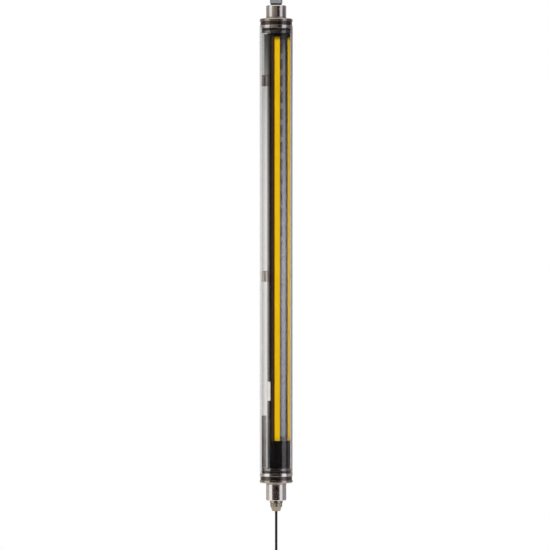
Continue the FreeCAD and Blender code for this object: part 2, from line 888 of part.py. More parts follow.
# ---------------------------------------------------------------- clips and labels
def make_clip(middle):
    """Spacer clip: back half of a ring that bears on the tube and keys into the T-slot."""
    low = middle - clip_height / 2
    high = middle + clip_height / 2
    outer = bore_radius - clip_clearance
    disc = rod(outer, low, high)
    disc = disc.cut(block(-outer, outer, -outer, clip_front_y, low, high))
    disc = disc.cut(prism(body_outline(clip_clearance, 0.0), low, high))
    pocket = rod(outer - clip_wall, low, high)
    pocket = pocket.cut(block(-outer, outer, -outer, profile_back + clip_web, low, high))
    keep = half_rail + clip_clearance + clip_web
    pocket = pocket.cut(block(-keep, keep, -outer, outer, low, high))
    body = disc.cut(pocket)
    half_mouth = slot_mouth_width / 2 - clip_clearance
    half_inner = slot_inner_width / 2 - clip_clearance
    slot_top = rail_back - slot_lip - clip_clearance
    neck = block(-half_mouth, half_mouth, slot_floor_y + clip_clearance,
                 rail_back + clip_web, low, high)
    key = block(-half_inner, half_inner, slot_floor_y + clip_clearance, slot_top, low, high)
    return body.fuse([neck, key]).removeSplitter()


def make_side_label():
    """Plain label on the left side of the profile."""
    back = profile_back - profile_corner_round - side_label_back_margin
    return block(-half_width - label_thickness, -half_width, back - side_label_width, back,
                 side_label_top - side_label_height, side_label_top)


def make_rating_label():
    """Bare dark label on the inside of the tube, behind the profile's left side."""
    foot = Vector(0, 0, rating_label_top - rating_label_height)
    up = Vector(0, 0, 1)
    sweep = rating_label_to - rating_label_from
    radius = bore_radius - curved_label_clearance
    outer = Part.makeCylinder(radius, rating_label_height, foot, up, sweep)
    inner = Part.makeCylinder(radius - label_thickness, rating_label_height, foot, up, sweep)
    label = outer.cut(inner)
    label.rotate(Vector(0, 0, 0), Vector(0, 0, 1), rating_label_from)
    return label


# ---------------------------------------------------------------- cable
def coil_limits():
    """Radius and side distance of the outermost turns' centrelines."""
    outer_turn = coil_mean_radius + turn_pitch * (coil_rows - 1) / 2
    side = turn_pitch * (coil_columns - 1) / 2
    return outer_turn, side


def cable_route():
    """Route of the loose cable from the gland to its first turn in the coil."""
    outer_turn, side = coil_limits()
    return [
        Vector(0, 0, cable_exit_z),
        Vector(0, 0, cable_lead_z),
        Vector(-outer_turn, -side, cable_side_z),
        Vector(-outer_turn, -side, coil_centre_z),
    ]


def cable_tube(route, radius):
    """Tube along straight runs joined by tangent arcs, with its length and bend radii."""
    edges = []
    radii = []
    length = 0.0
    start = route[0]
    for i in range(1, len(route) - 1):
        back = route[i - 1] - route[i]
        ahead = route[i + 1] - route[i]
        reach = arc_share * min(back.Length, ahead.Length)
        turn = math.pi - back.getAngle(ahead)
        bend = reach / math.tan(turn / 2)
        back.normalize()
        ahead.normalize()
        first = route[i] + back * reach
        last = route[i] + ahead * reach
        middle = (back + ahead).normalize()
        centre = route[i] + middle * (bend / math.cos(turn / 2))
        edges.append(Part.LineSegment(start, first).toShape())
        edges.append(Part.Arc(first, centre - middle * bend, last).toShape())
        radii.append(round(bend, 1))
        length += start.distanceToPoint(first) + bend * turn
        start = last
    edges.append(Part.LineSegment(start, route[-1]).toShape())
    length += start.distanceToPoint(route[-1])
    path = Part.Wire(edges)
    direction = (route[1] - route[0]).normalize()
    ring = Part.Wire(Part.Edge(Part.Circle(route[0], direction, radius)))
    tube = path.makePipeShell([ring], True, False, 2)
    return tube, length, radii


def make_cable():
    """Loose cable down to where the coil's solid takes it over."""
    tube, length, radii = cable_tube(cable_route(), cable_radius)
    share = tube.Volume / (math.pi * cable_radius ** 2 * length)
    print("cable: bend radii", radii, "volume against section x length", round(share, 4))
    outer_turn = coil_limits()[0]
    reach = 2 * outer_turn
    below = block(-reach, reach, -reach, reach, coil_centre_z - reach, coil_split_z)
    return tube.cut(below)


def make_coil():
    """Closed solid of the tied coil, with the stubs where the cable enters and leaves."""
    outer_turn, side = coil_limits()
    inner = coil_mean_radius - turn_pitch * (coil_rows - 1) / 2 - cable_radius
    outer = outer_turn + cable_radius
    half = side + cable_radius
    c = cable_radius
    section = [
        (inner + c, -half), (outer - c, -half), (outer, c - half), (outer, half - c),
        (outer - c, half), (inner + c, half), (inner, half - c), (inner, c - half),
    ]
    face = outline(section, lambda u, v: Vector(u, v, coil_centre_z))
    ring = face.revolve(Vector(0, 0, coil_centre_z), Vector(0, 1, 0), 360)
    entry = rod(cable_radius, coil_centre_z, coil_split_z, -outer_turn, -side)
    tail_end = coil_centre_z - coil_tail_length
    tail = rod(cable_radius, tail_end, coil_centre_z, -outer_turn, side)
    return ring.fuse([entry, tail])


def make_ties():
    """Two cable ties round the coil, at its top and its bottom."""
    outer_turn, side = coil_limits()
    inner = coil_mean_radius - turn_pitch * (coil_rows - 1) / 2 - cable_radius - tie_clearance
    outer = outer_turn + cable_radius + tie_clearance
    half = side + cable_radius + tie_clearance
    t = tie_thickness
    w = tie_width / 2
    solids = []
    for angle in (0, 180):
        band = block(-w, w, -half - t, half + t, inner - t, outer + t)
        band = band.cut(block(-w, w, -half, half, inner, outer))
        head = block(-tie_head / 2, tie_head / 2, half + t, half + t + tie_head / 2,
                     coil_mean_radius, coil_mean_radius + tie_head)
        tie = band.fuse(head)
        tie.rotate(Vector(0, 0, 0), Vector(0, 1, 0), angle)
        tie.translate(Vector(0, 0, coil_centre_z))
        solids.append(tie)
    return Part.makeCompound(solids)


def core_places():
    """Places of the stripped cores round the cable's end."""
    outer_turn, side = coil_limits()
    places = []
    for i in range(core_count):
        angle = 2 * math.pi * i / core_count
        x = -outer_turn + core_circle_radius * math.cos(angle)
        y = side + core_circle_radius * math.sin(angle)
        places.append((x, y))
    return places


def make_cores():
    """Stripped cores at the cable's far end."""
    top = coil_centre_z - coil_tail_length
    cores = [rod(core_diameter / 2, top - core_length, top, x, y) for x, y in core_places()]
    return Part.makeCompound(cores)


def make_ferrules():
    """Crimped ferrule on each core: short collar and pin, end to end with the core."""
    top = coil_centre_z - coil_tail_length - core_length
    low = top - ferrule_collar_length
    solids = []
    for x, y in core_places():
        collar = rod(ferrule_collar_diameter / 2, low, top, x, y)
        pin = rod(ferrule_pin_diameter / 2, low - ferrule_pin_length, low, x, y)
        solids.append(collar.fuse(pin))
    return Part.makeCompound(solids)


# ---------------------------------------------------------------- assembly
def build():
    """Make every piece of the light curtain."""
    cap = make_cap()
    ring = make_o_ring()
    washer = make_boss_washer()
    adapter = make_adapter()
    strip = make_strip()
    parts["protective_tube"] = make_tube()
    parts["upper_cap"] = cap
    parts["lower_cap"] = flipped(cap)
    parts["upper_cap_oring"] = ring
    parts["lower_cap_oring"] = flipped(ring)
    parts["upper_boss_washer"] = washer
    parts["lower_boss_washer"] = flipped(washer)
    parts["upper_boss"] = make_boss(upper_boss_height, vent_thread_diameter, vent_pocket_depth)
    parts["lower_boss"] = flipped(
        make_boss(lower_boss_height, gland_thread_diameter, gland_pocket_depth)
    )
    parts["vent_plug"] = make_vent_plug()
    parts["vent_membrane"] = make_vent_membrane()
    parts["vent_seal_ring"] = make_vent_seal()
    parts["gland_washer"] = make_gland_washer()
    parts["gland_body"] = make_gland_body()
    parts["gland_nut"] = make_gland_nut()
    parts["gland_seal_insert"] = make_gland_seal()
    parts["profile_housing"] = make_profile()
    parts["right_yellow_strip"] = strip
    parts["left_yellow_strip"] = left_of(strip)
    parts["front_window"] = make_window()
    parts["lens_strip"] = make_lens_strip()
    parts["optics_carrier"] = make_carrier()
    parts["circuit_board"] = make_board()
    parts["beam_diodes"] = make_diodes()
    parts["board_connector"] = make_connector()
    parts["upper_block_gasket"] = make_gasket(profile_top)
    parts["lower_block_gasket"] = make_gasket(profile_bottom - gasket_thickness)
    parts["upper_end_block"] = make_upper_block()
    parts["lower_end_block"] = make_lower_block()
    parts["upper_adapter"] = adapter
    parts["lower_adapter"] = flipped(adapter)
    parts["upper_block_screws"] = make_screws(upper_block_length)
    parts["lower_block_screws"] = flipped(make_screws(lower_block_length))
    parts["upper_spacer_clip"] = make_clip(upper_clip_height)
    parts["lower_spacer_clip"] = make_clip(lower_clip_height)
    parts["side_label"] = make_side_label()
    parts["rating_label"] = make_rating_label()
    parts["cable_inner_run"] = rod(cable_radius, cable_exit_z, connector_bottom)
    parts["cable"] = make_cable()
    parts["cable_coil"] = make_coil()
    parts["cable_ties"] = make_ties()
    parts["lead_cores"] = make_cores()
    parts["core_ferrules"] = make_ferrules()


os.makedirs("parts", exist_ok=True)
build()
for node, shape in parts.items():
    shape.exportStep("parts/" + node + ".step")
    print(node, len(shape.Solids), shape.isValid(), round(shape.Volume, 1))
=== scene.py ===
"""Looks of the safety light curtain sealed in a clear protective tube.

Every length is in metres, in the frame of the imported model: the origin is on the tube's axis at
half its length, +Z is up and the curtain looks along -Y. Each sub-assembly is a class that builds
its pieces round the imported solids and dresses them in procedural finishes.
"""

import logging
import math
from dataclasses import dataclass
from enum import Enum
from typing import Optional

import bmesh
import bpy
from mathutils import Matrix, Vector


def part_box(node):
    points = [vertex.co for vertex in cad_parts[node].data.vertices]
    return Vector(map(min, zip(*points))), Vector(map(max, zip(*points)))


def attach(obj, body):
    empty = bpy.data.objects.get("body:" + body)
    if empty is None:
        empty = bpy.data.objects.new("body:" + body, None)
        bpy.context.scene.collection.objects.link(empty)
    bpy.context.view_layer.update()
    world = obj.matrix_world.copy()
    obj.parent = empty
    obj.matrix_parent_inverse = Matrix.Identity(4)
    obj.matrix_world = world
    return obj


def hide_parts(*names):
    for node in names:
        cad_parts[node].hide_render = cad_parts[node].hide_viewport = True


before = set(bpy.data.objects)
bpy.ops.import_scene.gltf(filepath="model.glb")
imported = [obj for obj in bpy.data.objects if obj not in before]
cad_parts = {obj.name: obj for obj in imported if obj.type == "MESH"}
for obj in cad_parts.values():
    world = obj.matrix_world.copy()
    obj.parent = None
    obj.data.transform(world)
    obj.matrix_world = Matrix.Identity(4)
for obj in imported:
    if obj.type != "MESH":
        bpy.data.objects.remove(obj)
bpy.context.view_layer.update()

LOG = logging.getLogger("light_curtain")

ROOT = "root"
MM = 0.001

Colour = tuple[float, float, float]
Place = tuple[float, float, float]
Range = tuple[float, float]
Profile = list[Range]
Shares = tuple[Range, ...]
Socket = bpy.types.NodeSocket

WHITE: Colour = (1.0, 1.0, 1.0)


class End(Enum):
    """Which end of the tube a piece belongs to; the value is the way along Z."""

    UPPER = 1
    LOWER = -1

    @property
    def word(self) -> str:
        """The end's word in the names of pieces."""
        return self.name.lower()


class Grain(Enum):
    """How a surface's fine marks lie."""

    TURNED = "rings round the Z axis"
    DRAWN = "lines along Z"
    MOULDED = "even grain"


# ---------------------------------------------------------------- node trees
class NodeWork:
    """A node tree that is being put together."""

    def __init__(self, tree: bpy.types.NodeTree) -> None:
        """Takes a tree over.

        Args:
            tree: the tree.
        """
        self.tree = tree

    def give(self, target: Socket, value: object) -> None:
        """Joins a socket to an input, or sets the input to a value.

        Args:
            target: the input.
            value: a socket or a value; a colour gets its fourth number here.
        """
        if isinstance(value, Socket):
            self.tree.links.new(value, target)
        elif target.type == "RGBA":
            target.default_value = (*value, 1.0)
        else:
            target.default_value = value

    def node(self, kind: str, joins: Optional[dict[str | int, object]] = None,
             **settings: object) -> bpy.types.Node:
        """Adds a node.

        Args:
            kind: the node's type.
            joins: for each input, by name or number, a socket to join or a value to set.
            settings: the node's properties.

        Returns:
            The node.
        """
        made = self.tree.nodes.new(kind)
        for key, value in settings.items():
            setattr(made, key, value)
        for key, value in (joins or {}).items():
            self.give(made.inputs[key], value)
        return made

    def vector(self, **parts: float | Socket) -> Socket:
        """A vector from its parts along X, Y and Z."""
        return self.node("ShaderNodeCombineXYZ", parts).outputs[0]

    def result(self, operation: str, *values: float | Socket, **settings: object) -> Socket:
        """What comes of an operation on one or two numbers."""
        return self.node("ShaderNodeMath", dict(enumerate(values)), operation=operation,
                         **settings).outputs[0]


class Shading(NodeWork):
    """A material's node tree while it is being put together."""

    def __init__(self, name: str, kind: str = "ShaderNodeBsdfPrincipled") -> None:
        """Starts a material.

        Args:
            name: the material's name.
            kind: the type of its shader.
        """
        self.material = bpy.data.materials.new(name)
        self.material.use_nodes = True
        super().__init__(self.material.node_tree)
        self.tree.nodes.clear()
        self.shader = self.node(kind)
        self.node("ShaderNodeOutputMaterial", {"Surface": self.shader.outputs[0]})
        self.place = self.node("ShaderNodeTexCoord").outputs["Object"]

    def put(self, **values: object) -> None:
        """Sets or joins the shader's own inputs; underscores stand for spaces."""
        for key, value in values.items():
            self.give(self.shader.inputs[key.replace("_", " ")], value)

    def along(self, axis: str) -> Socket:
        """The coordinate along one axis."""
        return self.node("ShaderNodeSeparateXYZ", {0: self.place}).outputs[axis]

    def stretched(self, scale: Place) -> Socket:
        """The object's coordinates, scaled along each axis."""
        return self.node("ShaderNodeMapping", {"Scale": scale, "Vector": self.place}).outputs[0]

    def turned_place(self) -> Socket:
        """Coordinates that hold the distance from the Z axis and the height.

        Returns:
            The coordinates.
        """
        across = self.vector(X=self.along("X"), Y=self.along("Y"))
        length = self.node("ShaderNodeVectorMath", {0: across}, operation="LENGTH")
        return self.vector(X=length.outputs["Value"], Z=self.along("Z"))

    def noise(self, vector: Socket, scale: float, detail: float = 3.0,
              roughness: float = 0.5) -> Socket:
        """Noise over the given coordinates, as a grey value.

        Args:
            vector: the coordinates.
            scale: how fine the noise is.
            detail: its octaves.
            roughness: how strong the finer octaves are.

        Returns:
            The grey value.
        """
        return self.node("ShaderNodeTexNoise", {
            "Vector": vector, "Scale": scale, "Detail": detail,
            "Roughness": roughness}).outputs["Fac"]

    def spread(self, value: Socket, low: float = 0.0, high: float = 1.0,
               source: Range = (0.3, 0.7)) -> Socket:
        """Maps a grey value from its source range to the range low to high.

        Args:
            value: the grey value.
            low: what the range's start becomes.
            high: what its end becomes.
            source: the range.

        Returns:
            The mapped value.
        """
        return self.node("ShaderNodeMapRange", {
            "Value": value, "From Min": source[0], "From Max": source[1],
            "To Min": low, "To Max": high}).outputs["Result"]

    def blend(self, factor: float | Socket, first: Colour | Socket, second: Colour | Socket,
              mode: str = "MIX") -> Socket:
        """Mixes two colours.

        Args:
            factor: a grey value, 0 for the first colour and 1 for the mix with the second.
            first: the first colour, fixed or from a socket.
            second: the second colour.
            mode: how the second colour goes over the first.

        Returns:
            The mixed colour.
        """
        node = self.node("ShaderNodeMix", {"Factor": factor}, data_type="RGBA", blend_type=mode)
        colours = [socket for socket in node.inputs if socket.type == "RGBA"]
        for socket, value in zip(colours, (first, second)):
            self.give(socket, value)
        return next(socket for socket in node.outputs if socket.type == "RGBA")

    def faded(self, colour: Colour | Socket, shares: Shares) -> Colour | Socket:
        """Darkens a colour by height.

        Args:
            colour: the colour, fixed or from a socket.
            shares: heights, rising, with the share of the colour that is left there.

        Returns:
            The darkened colour, or the same one if there are no shares.
        """
        if not shares:
            return colour
        low, high = shares[0][0], shares[-1][0]
        level = self.spread(self.along("Z"), source=(low, high))
        ramp = self.node("ShaderNodeValToRGB", {"Fac": level})
        stops = ramp.color_ramp.elements
        while len(stops) < len(shares):
            stops.new(0.5)
        for stop, (height, share) in zip(stops, shares):
            stop.position = (height - low) / (high - low)
            stop.color = (share, share, share, 1.0)
        return self.blend(1.0, colour, ramp.outputs["Color"], "MULTIPLY")

    def surface(self, grain: Socket, gloss: Range, strength: float, depth: float,
                specular: float) -> None:
        """Sets the gloss and the relief.

        Args:
            grain: the fine marks as a grey value.
            gloss: the roughness where the marks are dark and where they are light.
            strength: strength of the relief.
            depth: depth of the relief.
            specular: strength of the mirror image.
        """
        relief = self.node("ShaderNodeBump", {"Strength": strength, "Distance": depth,
                                              "Height": grain})
        self.put(Roughness=self.spread(grain, *gloss), Normal=relief.outputs["Normal"],
                 Specular_IOR_Level=specular)


class Repeat(NodeWork):
    """A Geometry Nodes tree in the making, with named inputs."""

    def __init__(self, name: str) -> None:
        """Starts the tree.

        Args:
            name: the tree's name.
        """
        super().__init__(bpy.data.node_groups.new(name, "GeometryNodeTree"))
        self.tree.interface.new_socket("Geometry", in_out="OUTPUT",
                                       socket_type="NodeSocketGeometry")
        self.values: dict[str, object] = {}
        self.inputs = self.node("NodeGroupInput")
        self.output = self.node("NodeGroupOutput")

    def size(self, name: str, value: float | int) -> Socket:
        """Adds a named input, a whole number or a length.

        Args:
            name: the input's name.
            value: its value.

        Returns:
            The input's socket in the tree.
        """
        kind = "NodeSocketInt" if isinstance(value, int) else "NodeSocketFloat"
        self.tree.interface.new_socket(name, in_out="INPUT", socket_type=kind)
        self.values[name] = value
        return self.inputs.outputs[name]

    def finished(self, geometry: Socket, finish: "AnyFinish", name: str) -> bpy.types.Object:
        """Realises the instances, sets the material and makes the piece.

        Args:
            geometry: what the tree has made.
            finish: the finish of every face.
            name: the piece's name.

        Returns:
            The piece, as a plain mesh.
        """
        whole = self.node("GeometryNodeRealizeInstances", {"Geometry": geometry})
        dressed = self.node("GeometryNodeSetMaterial", {"Geometry": whole.outputs[0],
                                                        "Material": material_of(finish)})
        self.give(self.output.inputs[0], dressed.outputs[0])
        piece = added(name, bpy.data.meshes.new(name))
        modifier = piece.modifiers.new("repeat", "NODES")
        modifier.node_group = self.tree
        for item in self.tree.interface.items_tree:
            if item.in_out == "INPUT":
                modifier[item.identifier] = self.values[item.name]
        settle(piece)
        return piece


# ---------------------------------------------------------------- finishes
# stretches of noise: drawn lines along Z, and tall patches
DRAWN: Place = (1.0, 1.0, 0.012)
TALL: Place = (1.0, 1.0, 0.35)
TALLER: Place = (1.0, 1.0, 0.2)


def scaled(colour: Colour, factor: float) -> Colour:
    """The colour, lighter or darker by a factor."""
    return (colour[0] * factor, colour[1] * factor, colour[2] * factor)


@dataclass(frozen=True)
class Finish:
    """An opaque finish with fine marks in its colour, gloss and relief."""

    name: str
    colour: Colour
    roughness: float = 0.4
    metallic: float = 0.0
    specular: float = 0.5
    grain: Grain = Grain.MOULDED
    grain_scale: float = 900.0
    grain_depth: float = 0.02 * MM
    grain_strength: float = 0.3
    colour_spread: float = 0.06
    roughness_spread: float = 0.05
    patch_scale: float = 60.0
    # heights and shares of the colour that is left there: painted shade along a piece
    shares: Shares = ()

    def marks(self, shading: Shading) -> Socket:
        """The fine marks as a grey value.

        Args:
            shading: the tree that they are added to.

        Returns:
            The grey value.
        """
        if self.grain is Grain.DRAWN:
            return shading.noise(shading.stretched(DRAWN), self.grain_scale, 3.0, 0.6)
        place = shading.turned_place() if self.grain is Grain.TURNED else shading.place
        return shading.noise(place, self.grain_scale, 4.0, 0.6)

    def build(self) -> bpy.types.Material:
        """Makes the material.

        Returns:
            The material.
        """
        shading = Shading(self.name)
        patches = shading.noise(shading.stretched(TALL), self.patch_scale, 3.0, 0.55)
        tone = shading.blend(shading.spread(patches),
                             scaled(self.colour, 1.0 - self.colour_spread),
                             scaled(self.colour, 1.0 + self.colour_spread))
        shading.put(Base_Color=shading.faded(tone, self.shares), Metallic=self.metallic)
        shading.surface(self.marks(shading), (self.roughness - self.roughness_spread,
                                              self.roughness + self.roughness_spread),
                        self.grain_strength, self.grain_depth, self.specular)
        return shading.material


@dataclass(frozen=True)
class ClearPlastic:
    """A clear or smoked plastic that light passes through."""

    name: str
    colour: Colour
    roughness: float = 0.0
    index: float = 1.49
    haze: float = 0.0
    patch_scale: float = 25.0
    darkest: float = 0.985

    def build(self) -> bpy.types.Material:
        """Makes the material.

        Returns:
            The material.
        """
        shading = Shading(self.name)
        patches = shading.noise(shading.stretched(TALLER), self.patch_scale, 2.0)
        tone = shading.blend(shading.spread(patches), scaled(self.colour, self.darkest),
                             self.colour)
        gloss = shading.spread(patches, self.roughness, self.roughness + self.haze)
        shading.put(Base_Color=tone, Roughness=gloss, Transmission_Weight=1.0, IOR=self.index)
        return shading.material


@dataclass(frozen=True)
class LabelFilm:
    """A label's film, with the faint mottling of a printed ground."""

    name: str
    ground: Colour
    mottle: Colour
    translucence: float = 0.0
    shares: Shares = ()
    mottle_scale: Place = (500.0, 500.0, 260.0)
    threshold: Range = (0.5, 0.58)
    gloss: Range = (0.35, 0.5)
    grain_scale: float = 2500.0

    def build(self) -> bpy.types.Material:
        """Makes the material.

        Returns:
            The material.
        """
        shading = Shading(self.name)
        patches = shading.noise(shading.stretched(self.mottle_scale), 1.0, 2.0, 0.6)
        tone = shading.blend(shading.spread(patches, source=self.threshold), self.ground,
                             self.mottle)
        shading.put(Base_Color=shading.faded(tone, self.shares),
                    Transmission_Weight=self.translucence)
        shading.surface(shading.noise(shading.place, self.grain_scale), self.gloss,
                        strength=0.15, depth=0.01 * MM, specular=0.3)
        return shading.material


@dataclass(frozen=True)
class HousingFinish:
    """Black anodising on an extrusion, with a painted sheen towards its rear edge and a painted
    reflection of the yellow strips towards its front edge.
    """

    name: str
    colour: Colour
    # rear: a painted sheen over the black; front: a painted reflection of the yellow strips
    rear: Colour
    front: Colour
    # heights and shares of the painted rear sheen, which fades towards both ends
    sheen_shares: Shares = ()
    # depths along Y between which the painted rear sheen fades in, and the painted yellow
    # reflection at the front
    sheen_band: Range = (-3.4 * MM, -1.2 * MM)
    yellow_reflection_band: Range = (-9.5 * MM, -12.5 * MM)
    gloss: Range = (0.38, 0.48)
    grain_scale: float = 2200.0

    def build(self) -> bpy.types.Material:
        """Makes the material.

        Returns:
            The material.
        """
        shading = Shading(self.name)
        depth = shading.along("Y")
        # the front tone is a painted reflection of the yellow strips, and the rear tone a painted
        # sheen that fades by height
        front = shading.blend(shading.spread(depth, source=self.yellow_reflection_band), self.colour,
                              self.front)
        rear = shading.blend(shading.spread(depth, source=self.sheen_band), self.colour, self.rear)
        rear = shading.faded(rear, self.sheen_shares)
        shading.put(Base_Color=shading.blend(1.0, front, rear, "LIGHTEN"))
        lines = shading.noise(shading.stretched(DRAWN), self.grain_scale, 3.0, 0.6)
        shading.surface(lines, self.gloss, strength=0.3, depth=0.012 * MM, specular=0.15)
        return shading.material


@dataclass(frozen=True)
class LensFinish:
    """Frosted plastic with domes over dark wells, with painted shade on one side of each dome and
    a painted highlight on the other.
    """

    name: str
    plate: Colour
    # a dome's painted shaded side and its painted lit side
    shaded: Colour
    lit: Colour
    # painted light and shade by height: for the whole lens, and for the domes' shaded sides
    shares: Shares = ()
    shaded_shares: Shares = ()
    # depths along Y of the plate's face and a dome's flank, and places along X of the two sides
    flank: Range = (-18.42 * MM, -18.8 * MM)
    sides: Range = (-0.8 * MM, 1.0 * MM)
    gloss: Range = (0.17, 0.27)
    grain_scale: float = 1600.0

    def build(self) -> bpy.types.Material:
        """Makes the material.

        Returns:
            The material.
        """
        shading = Shading(self.name)
        # painted shade across each dome, from its shaded side to its lit side
        dome = shading.blend(shading.spread(shading.along("X"), source=self.sides),
                             shading.faded(self.shaded, self.shaded_shares), self.lit)
        tone = shading.blend(shading.spread(shading.along("Y"), source=self.flank),
                             self.plate, dome)
        shading.put(Base_Color=shading.faded(tone, self.shares))
        shading.surface(shading.noise(shading.place, self.grain_scale, 4.0, 0.6), self.gloss,
                        strength=0.3, depth=0.01 * MM, specular=0.6)
        return shading.material


def turned(name: str, colour: Colour, roughness: float, scale: float, depth: float,
           **more: float) -> Finish:
    """The finish of a turned metal piece.

    Args:
        name: the finish's name.
        colour: the metal's colour.
        roughness: its roughness.
        scale: how fine its rings are.
        depth: how deep they are.
        more: further fields of the finish.

    Returns:
        The finish.
    """
    return Finish(name, colour, roughness, 1.0, grain=Grain.TURNED, grain_scale=scale,
                  grain_depth=depth, **more)


AnyFinish = Finish | ClearPlastic | LabelFilm | HousingFinish | LensFinish

CLEAR_TUBE = ClearPlastic("clear_acrylic_tube", (0.86, 0.855, 0.845))
SMOKED_WINDOW = ClearPlastic("smoked_window_plastic", (0.86, 0.86, 0.88), 0.03, 1.5, 0.02)
SMOKED_CLIP = ClearPlastic("smoked_clip_plastic", (0.84, 0.80, 0.775), 0.0, 1.22, 0.02)
# a darker copy of the clip plastic for the upper clip: painted shade
SHADED_UPPER_CLIP = ClearPlastic("upper_clip_plastic_painted_shade", (0.54, 0.48, 0.475), 0.0, 1.22, 0.02)
# the shares paint light and shade that change with height over the whole lens, dark at both ends;
# the shaded shares paint the domes' shaded sides darker towards the top
LENS_PLASTIC = LensFinish(
    "frosted_lens_plastic", (0.24, 0.235, 0.255), (0.25, 0.24, 0.245), (0.25, 0.252, 0.285),
    shares=((-0.3365, 0.08), (-0.3350, 1.0), (-0.187, 1.0), (-0.103, 0.8), (-0.055, 0.65),
            (0.072, 0.65), (0.117, 0.72), (0.170, 0.9), (0.224, 1.0), (0.355, 1.0),
            (0.378, 0.25), (0.3815, 0.10)),
    shaded_shares=((-0.3365, 1.0), (-0.055, 1.0), (-0.030, 0.9), (0.017, 0.40), (0.072, 0.30),
                   (0.250, 0.30), (0.380, 0.4)))
TURNED_STEEL = turned("turned_stainless_steel", (0.80, 0.775, 0.76), 0.16, 3200.0, 0.006 * MM,
                      grain_strength=0.25, colour_spread=0.03)
# darker copies of the turned steel: painted shade on the groove and the spigot, and a painted dim,
# warm reflection on the flange
GROOVE_STEEL = turned("groove_steel_painted_shade", (0.14, 0.115, 0.11), 0.22, 2500.0, 0.01 * MM)
FLANGE_STEEL = turned("flange_steel_painted_reflection", (0.45, 0.40, 0.34), 0.20, 2800.0, 0.008 * MM)
SPIGOT_STEEL = turned("spigot_steel_painted_shade", (0.40, 0.37, 0.35), 0.20, 2500.0, 0.008 * MM)
WASHER_STEEL = turned("dull_washer_steel", (0.50, 0.45, 0.41), 0.36, 2500.0, 0.01 * MM)
SATIN_STEEL = turned("satin_gland_metal", (0.40, 0.335, 0.26), 0.30, 2600.0, 0.008 * MM,
                     colour_spread=0.04)
COLLAR_STEEL = turned("bright_collar_metal", (0.46, 0.40, 0.325), 0.16, 2600.0, 0.006 * MM,
                      colour_spread=0.04)
BLACK_RUBBER = Finish("black_seal_rubber", (0.012, 0.011, 0.011), 0.55, specular=0.25,
                      grain_scale=1400.0)
GREY_VENT = Finish("grey_vent_plastic", (0.145, 0.145, 0.15), 0.45, specular=0.35,
                   grain_scale=1200.0, grain_depth=0.03 * MM)
MEMBRANE = Finish("vent_membrane_felt", (0.62, 0.61, 0.58), 0.9, specular=0.1,
                  grain_scale=1500.0, grain_depth=0.05 * MM)
# the rear tone is a painted sheen that fades towards both ends; the front tone is a painted
# reflection of the yellow strips
BLACK_ANODISED = HousingFinish("black_anodised_extrusion", (0.006, 0.005, 0.005),
                               rear=(0.160, 0.148, 0.155), front=(0.048, 0.023, 0.006),
                               sheen_shares=((-0.343, 0.20), (-0.300, 0.42), (-0.270, 0.62),
                                            (-0.200, 0.95), (0.000, 1.0), (0.090, 0.95),
                                            (0.220, 0.66), (0.290, 0.50), (0.360, 0.20),
                                            (0.386, 0.12)))
# the shares paint shade on the strips: a deep painted shadow at the upper end under the end block,
# and lighter painted shade towards the lower end
YELLOW_STRIP = Finish("yellow_strip_plastic", (0.90, 0.555, 0.0), 0.42, specular=0.12,
                      grain=Grain.DRAWN, grain_scale=1500.0, grain_depth=0.01 * MM,
                      colour_spread=0.02,
                      shares=((-0.3430, 0.80), (-0.3360, 0.83), (-0.3350, 0.94),
                              (-0.0500, 1.0), (0.3800, 1.0),
                              (0.3820, 0.60), (0.3832, 0.28), (0.3860, 0.24)))
BLACK_PLASTIC = Finish("black_moulded_plastic", (0.004, 0.0036, 0.004), 0.5, specular=0.12,
                       grain_scale=1500.0, grain_depth=0.03 * MM)
BOARD_GREEN = Finish("board_lacquer", (0.008, 0.035, 0.018), 0.3, specular=0.3,
                     grain_scale=700.0)
DIODE_EPOXY = Finish("diode_epoxy", (0.05, 0.03, 0.06), 0.12, specular=0.6, grain_scale=500.0)
ZINC = Finish("zinc_plated_screw", (0.62, 0.63, 0.66), 0.28, 1.0, grain_scale=1200.0)
ADAPTER_ALLOY = turned("adapter_alloy", (0.55, 0.55, 0.56), 0.3, 2400.0, 0.02 * MM)
PLAIN_LABEL = LabelFilm("plain_label_film", (0.66, 0.655, 0.63), (0.5, 0.49, 0.47))
DARK_LABEL = LabelFilm("dark_label_film", (0.55, 0.50, 0.495), (0.80, 0.76, 0.75),
                       translucence=0.8, shares=((-0.345, 0.72), (-0.330, 1.0)))
CABLE_JACKET = Finish("cable_jacket", (0.011, 0.007, 0.008), 0.5, specular=0.15,
                      grain_scale=1800.0, grain_depth=0.02 * MM)
TIE_NYLON = Finish("tie_nylon", (0.02, 0.02, 0.02), 0.4, specular=0.4, grain_scale=1500.0)
CORE_WIRE = Finish("core_insulation", (0.16, 0.10, 0.06), 0.4, grain_scale=1800.0)
TINNED = Finish("tinned_ferrule", (0.72, 0.72, 0.73), 0.25, 1.0, grain_scale=1500.0)

_made: dict[str, bpy.types.Material] = {}


def material_of(finish: AnyFinish) -> bpy.types.Material:
    """The finish's material, made once.

    Args:
        finish: the finish.

    Returns:
        The material.
    """
    if finish.name not in _made:
        _made[finish.name] = finish.build()
    return _made[finish.name]


# ---------------------------------------------------------------- mesh helpers
# a length that counts as nothing, and a corner so flat that it stays as it is
NOTHING = 1e-6
FLAT = math.radians(176.0)
# the most of a side that one round takes up
ROUND_SHARE = 0.45
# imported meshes: how close vertices are welded, how level faces are joined, and a sharp edge
WELD = 0.002 * MM
LEVEL = math.radians(0.5)
SHARP_DEGREES = 35.0


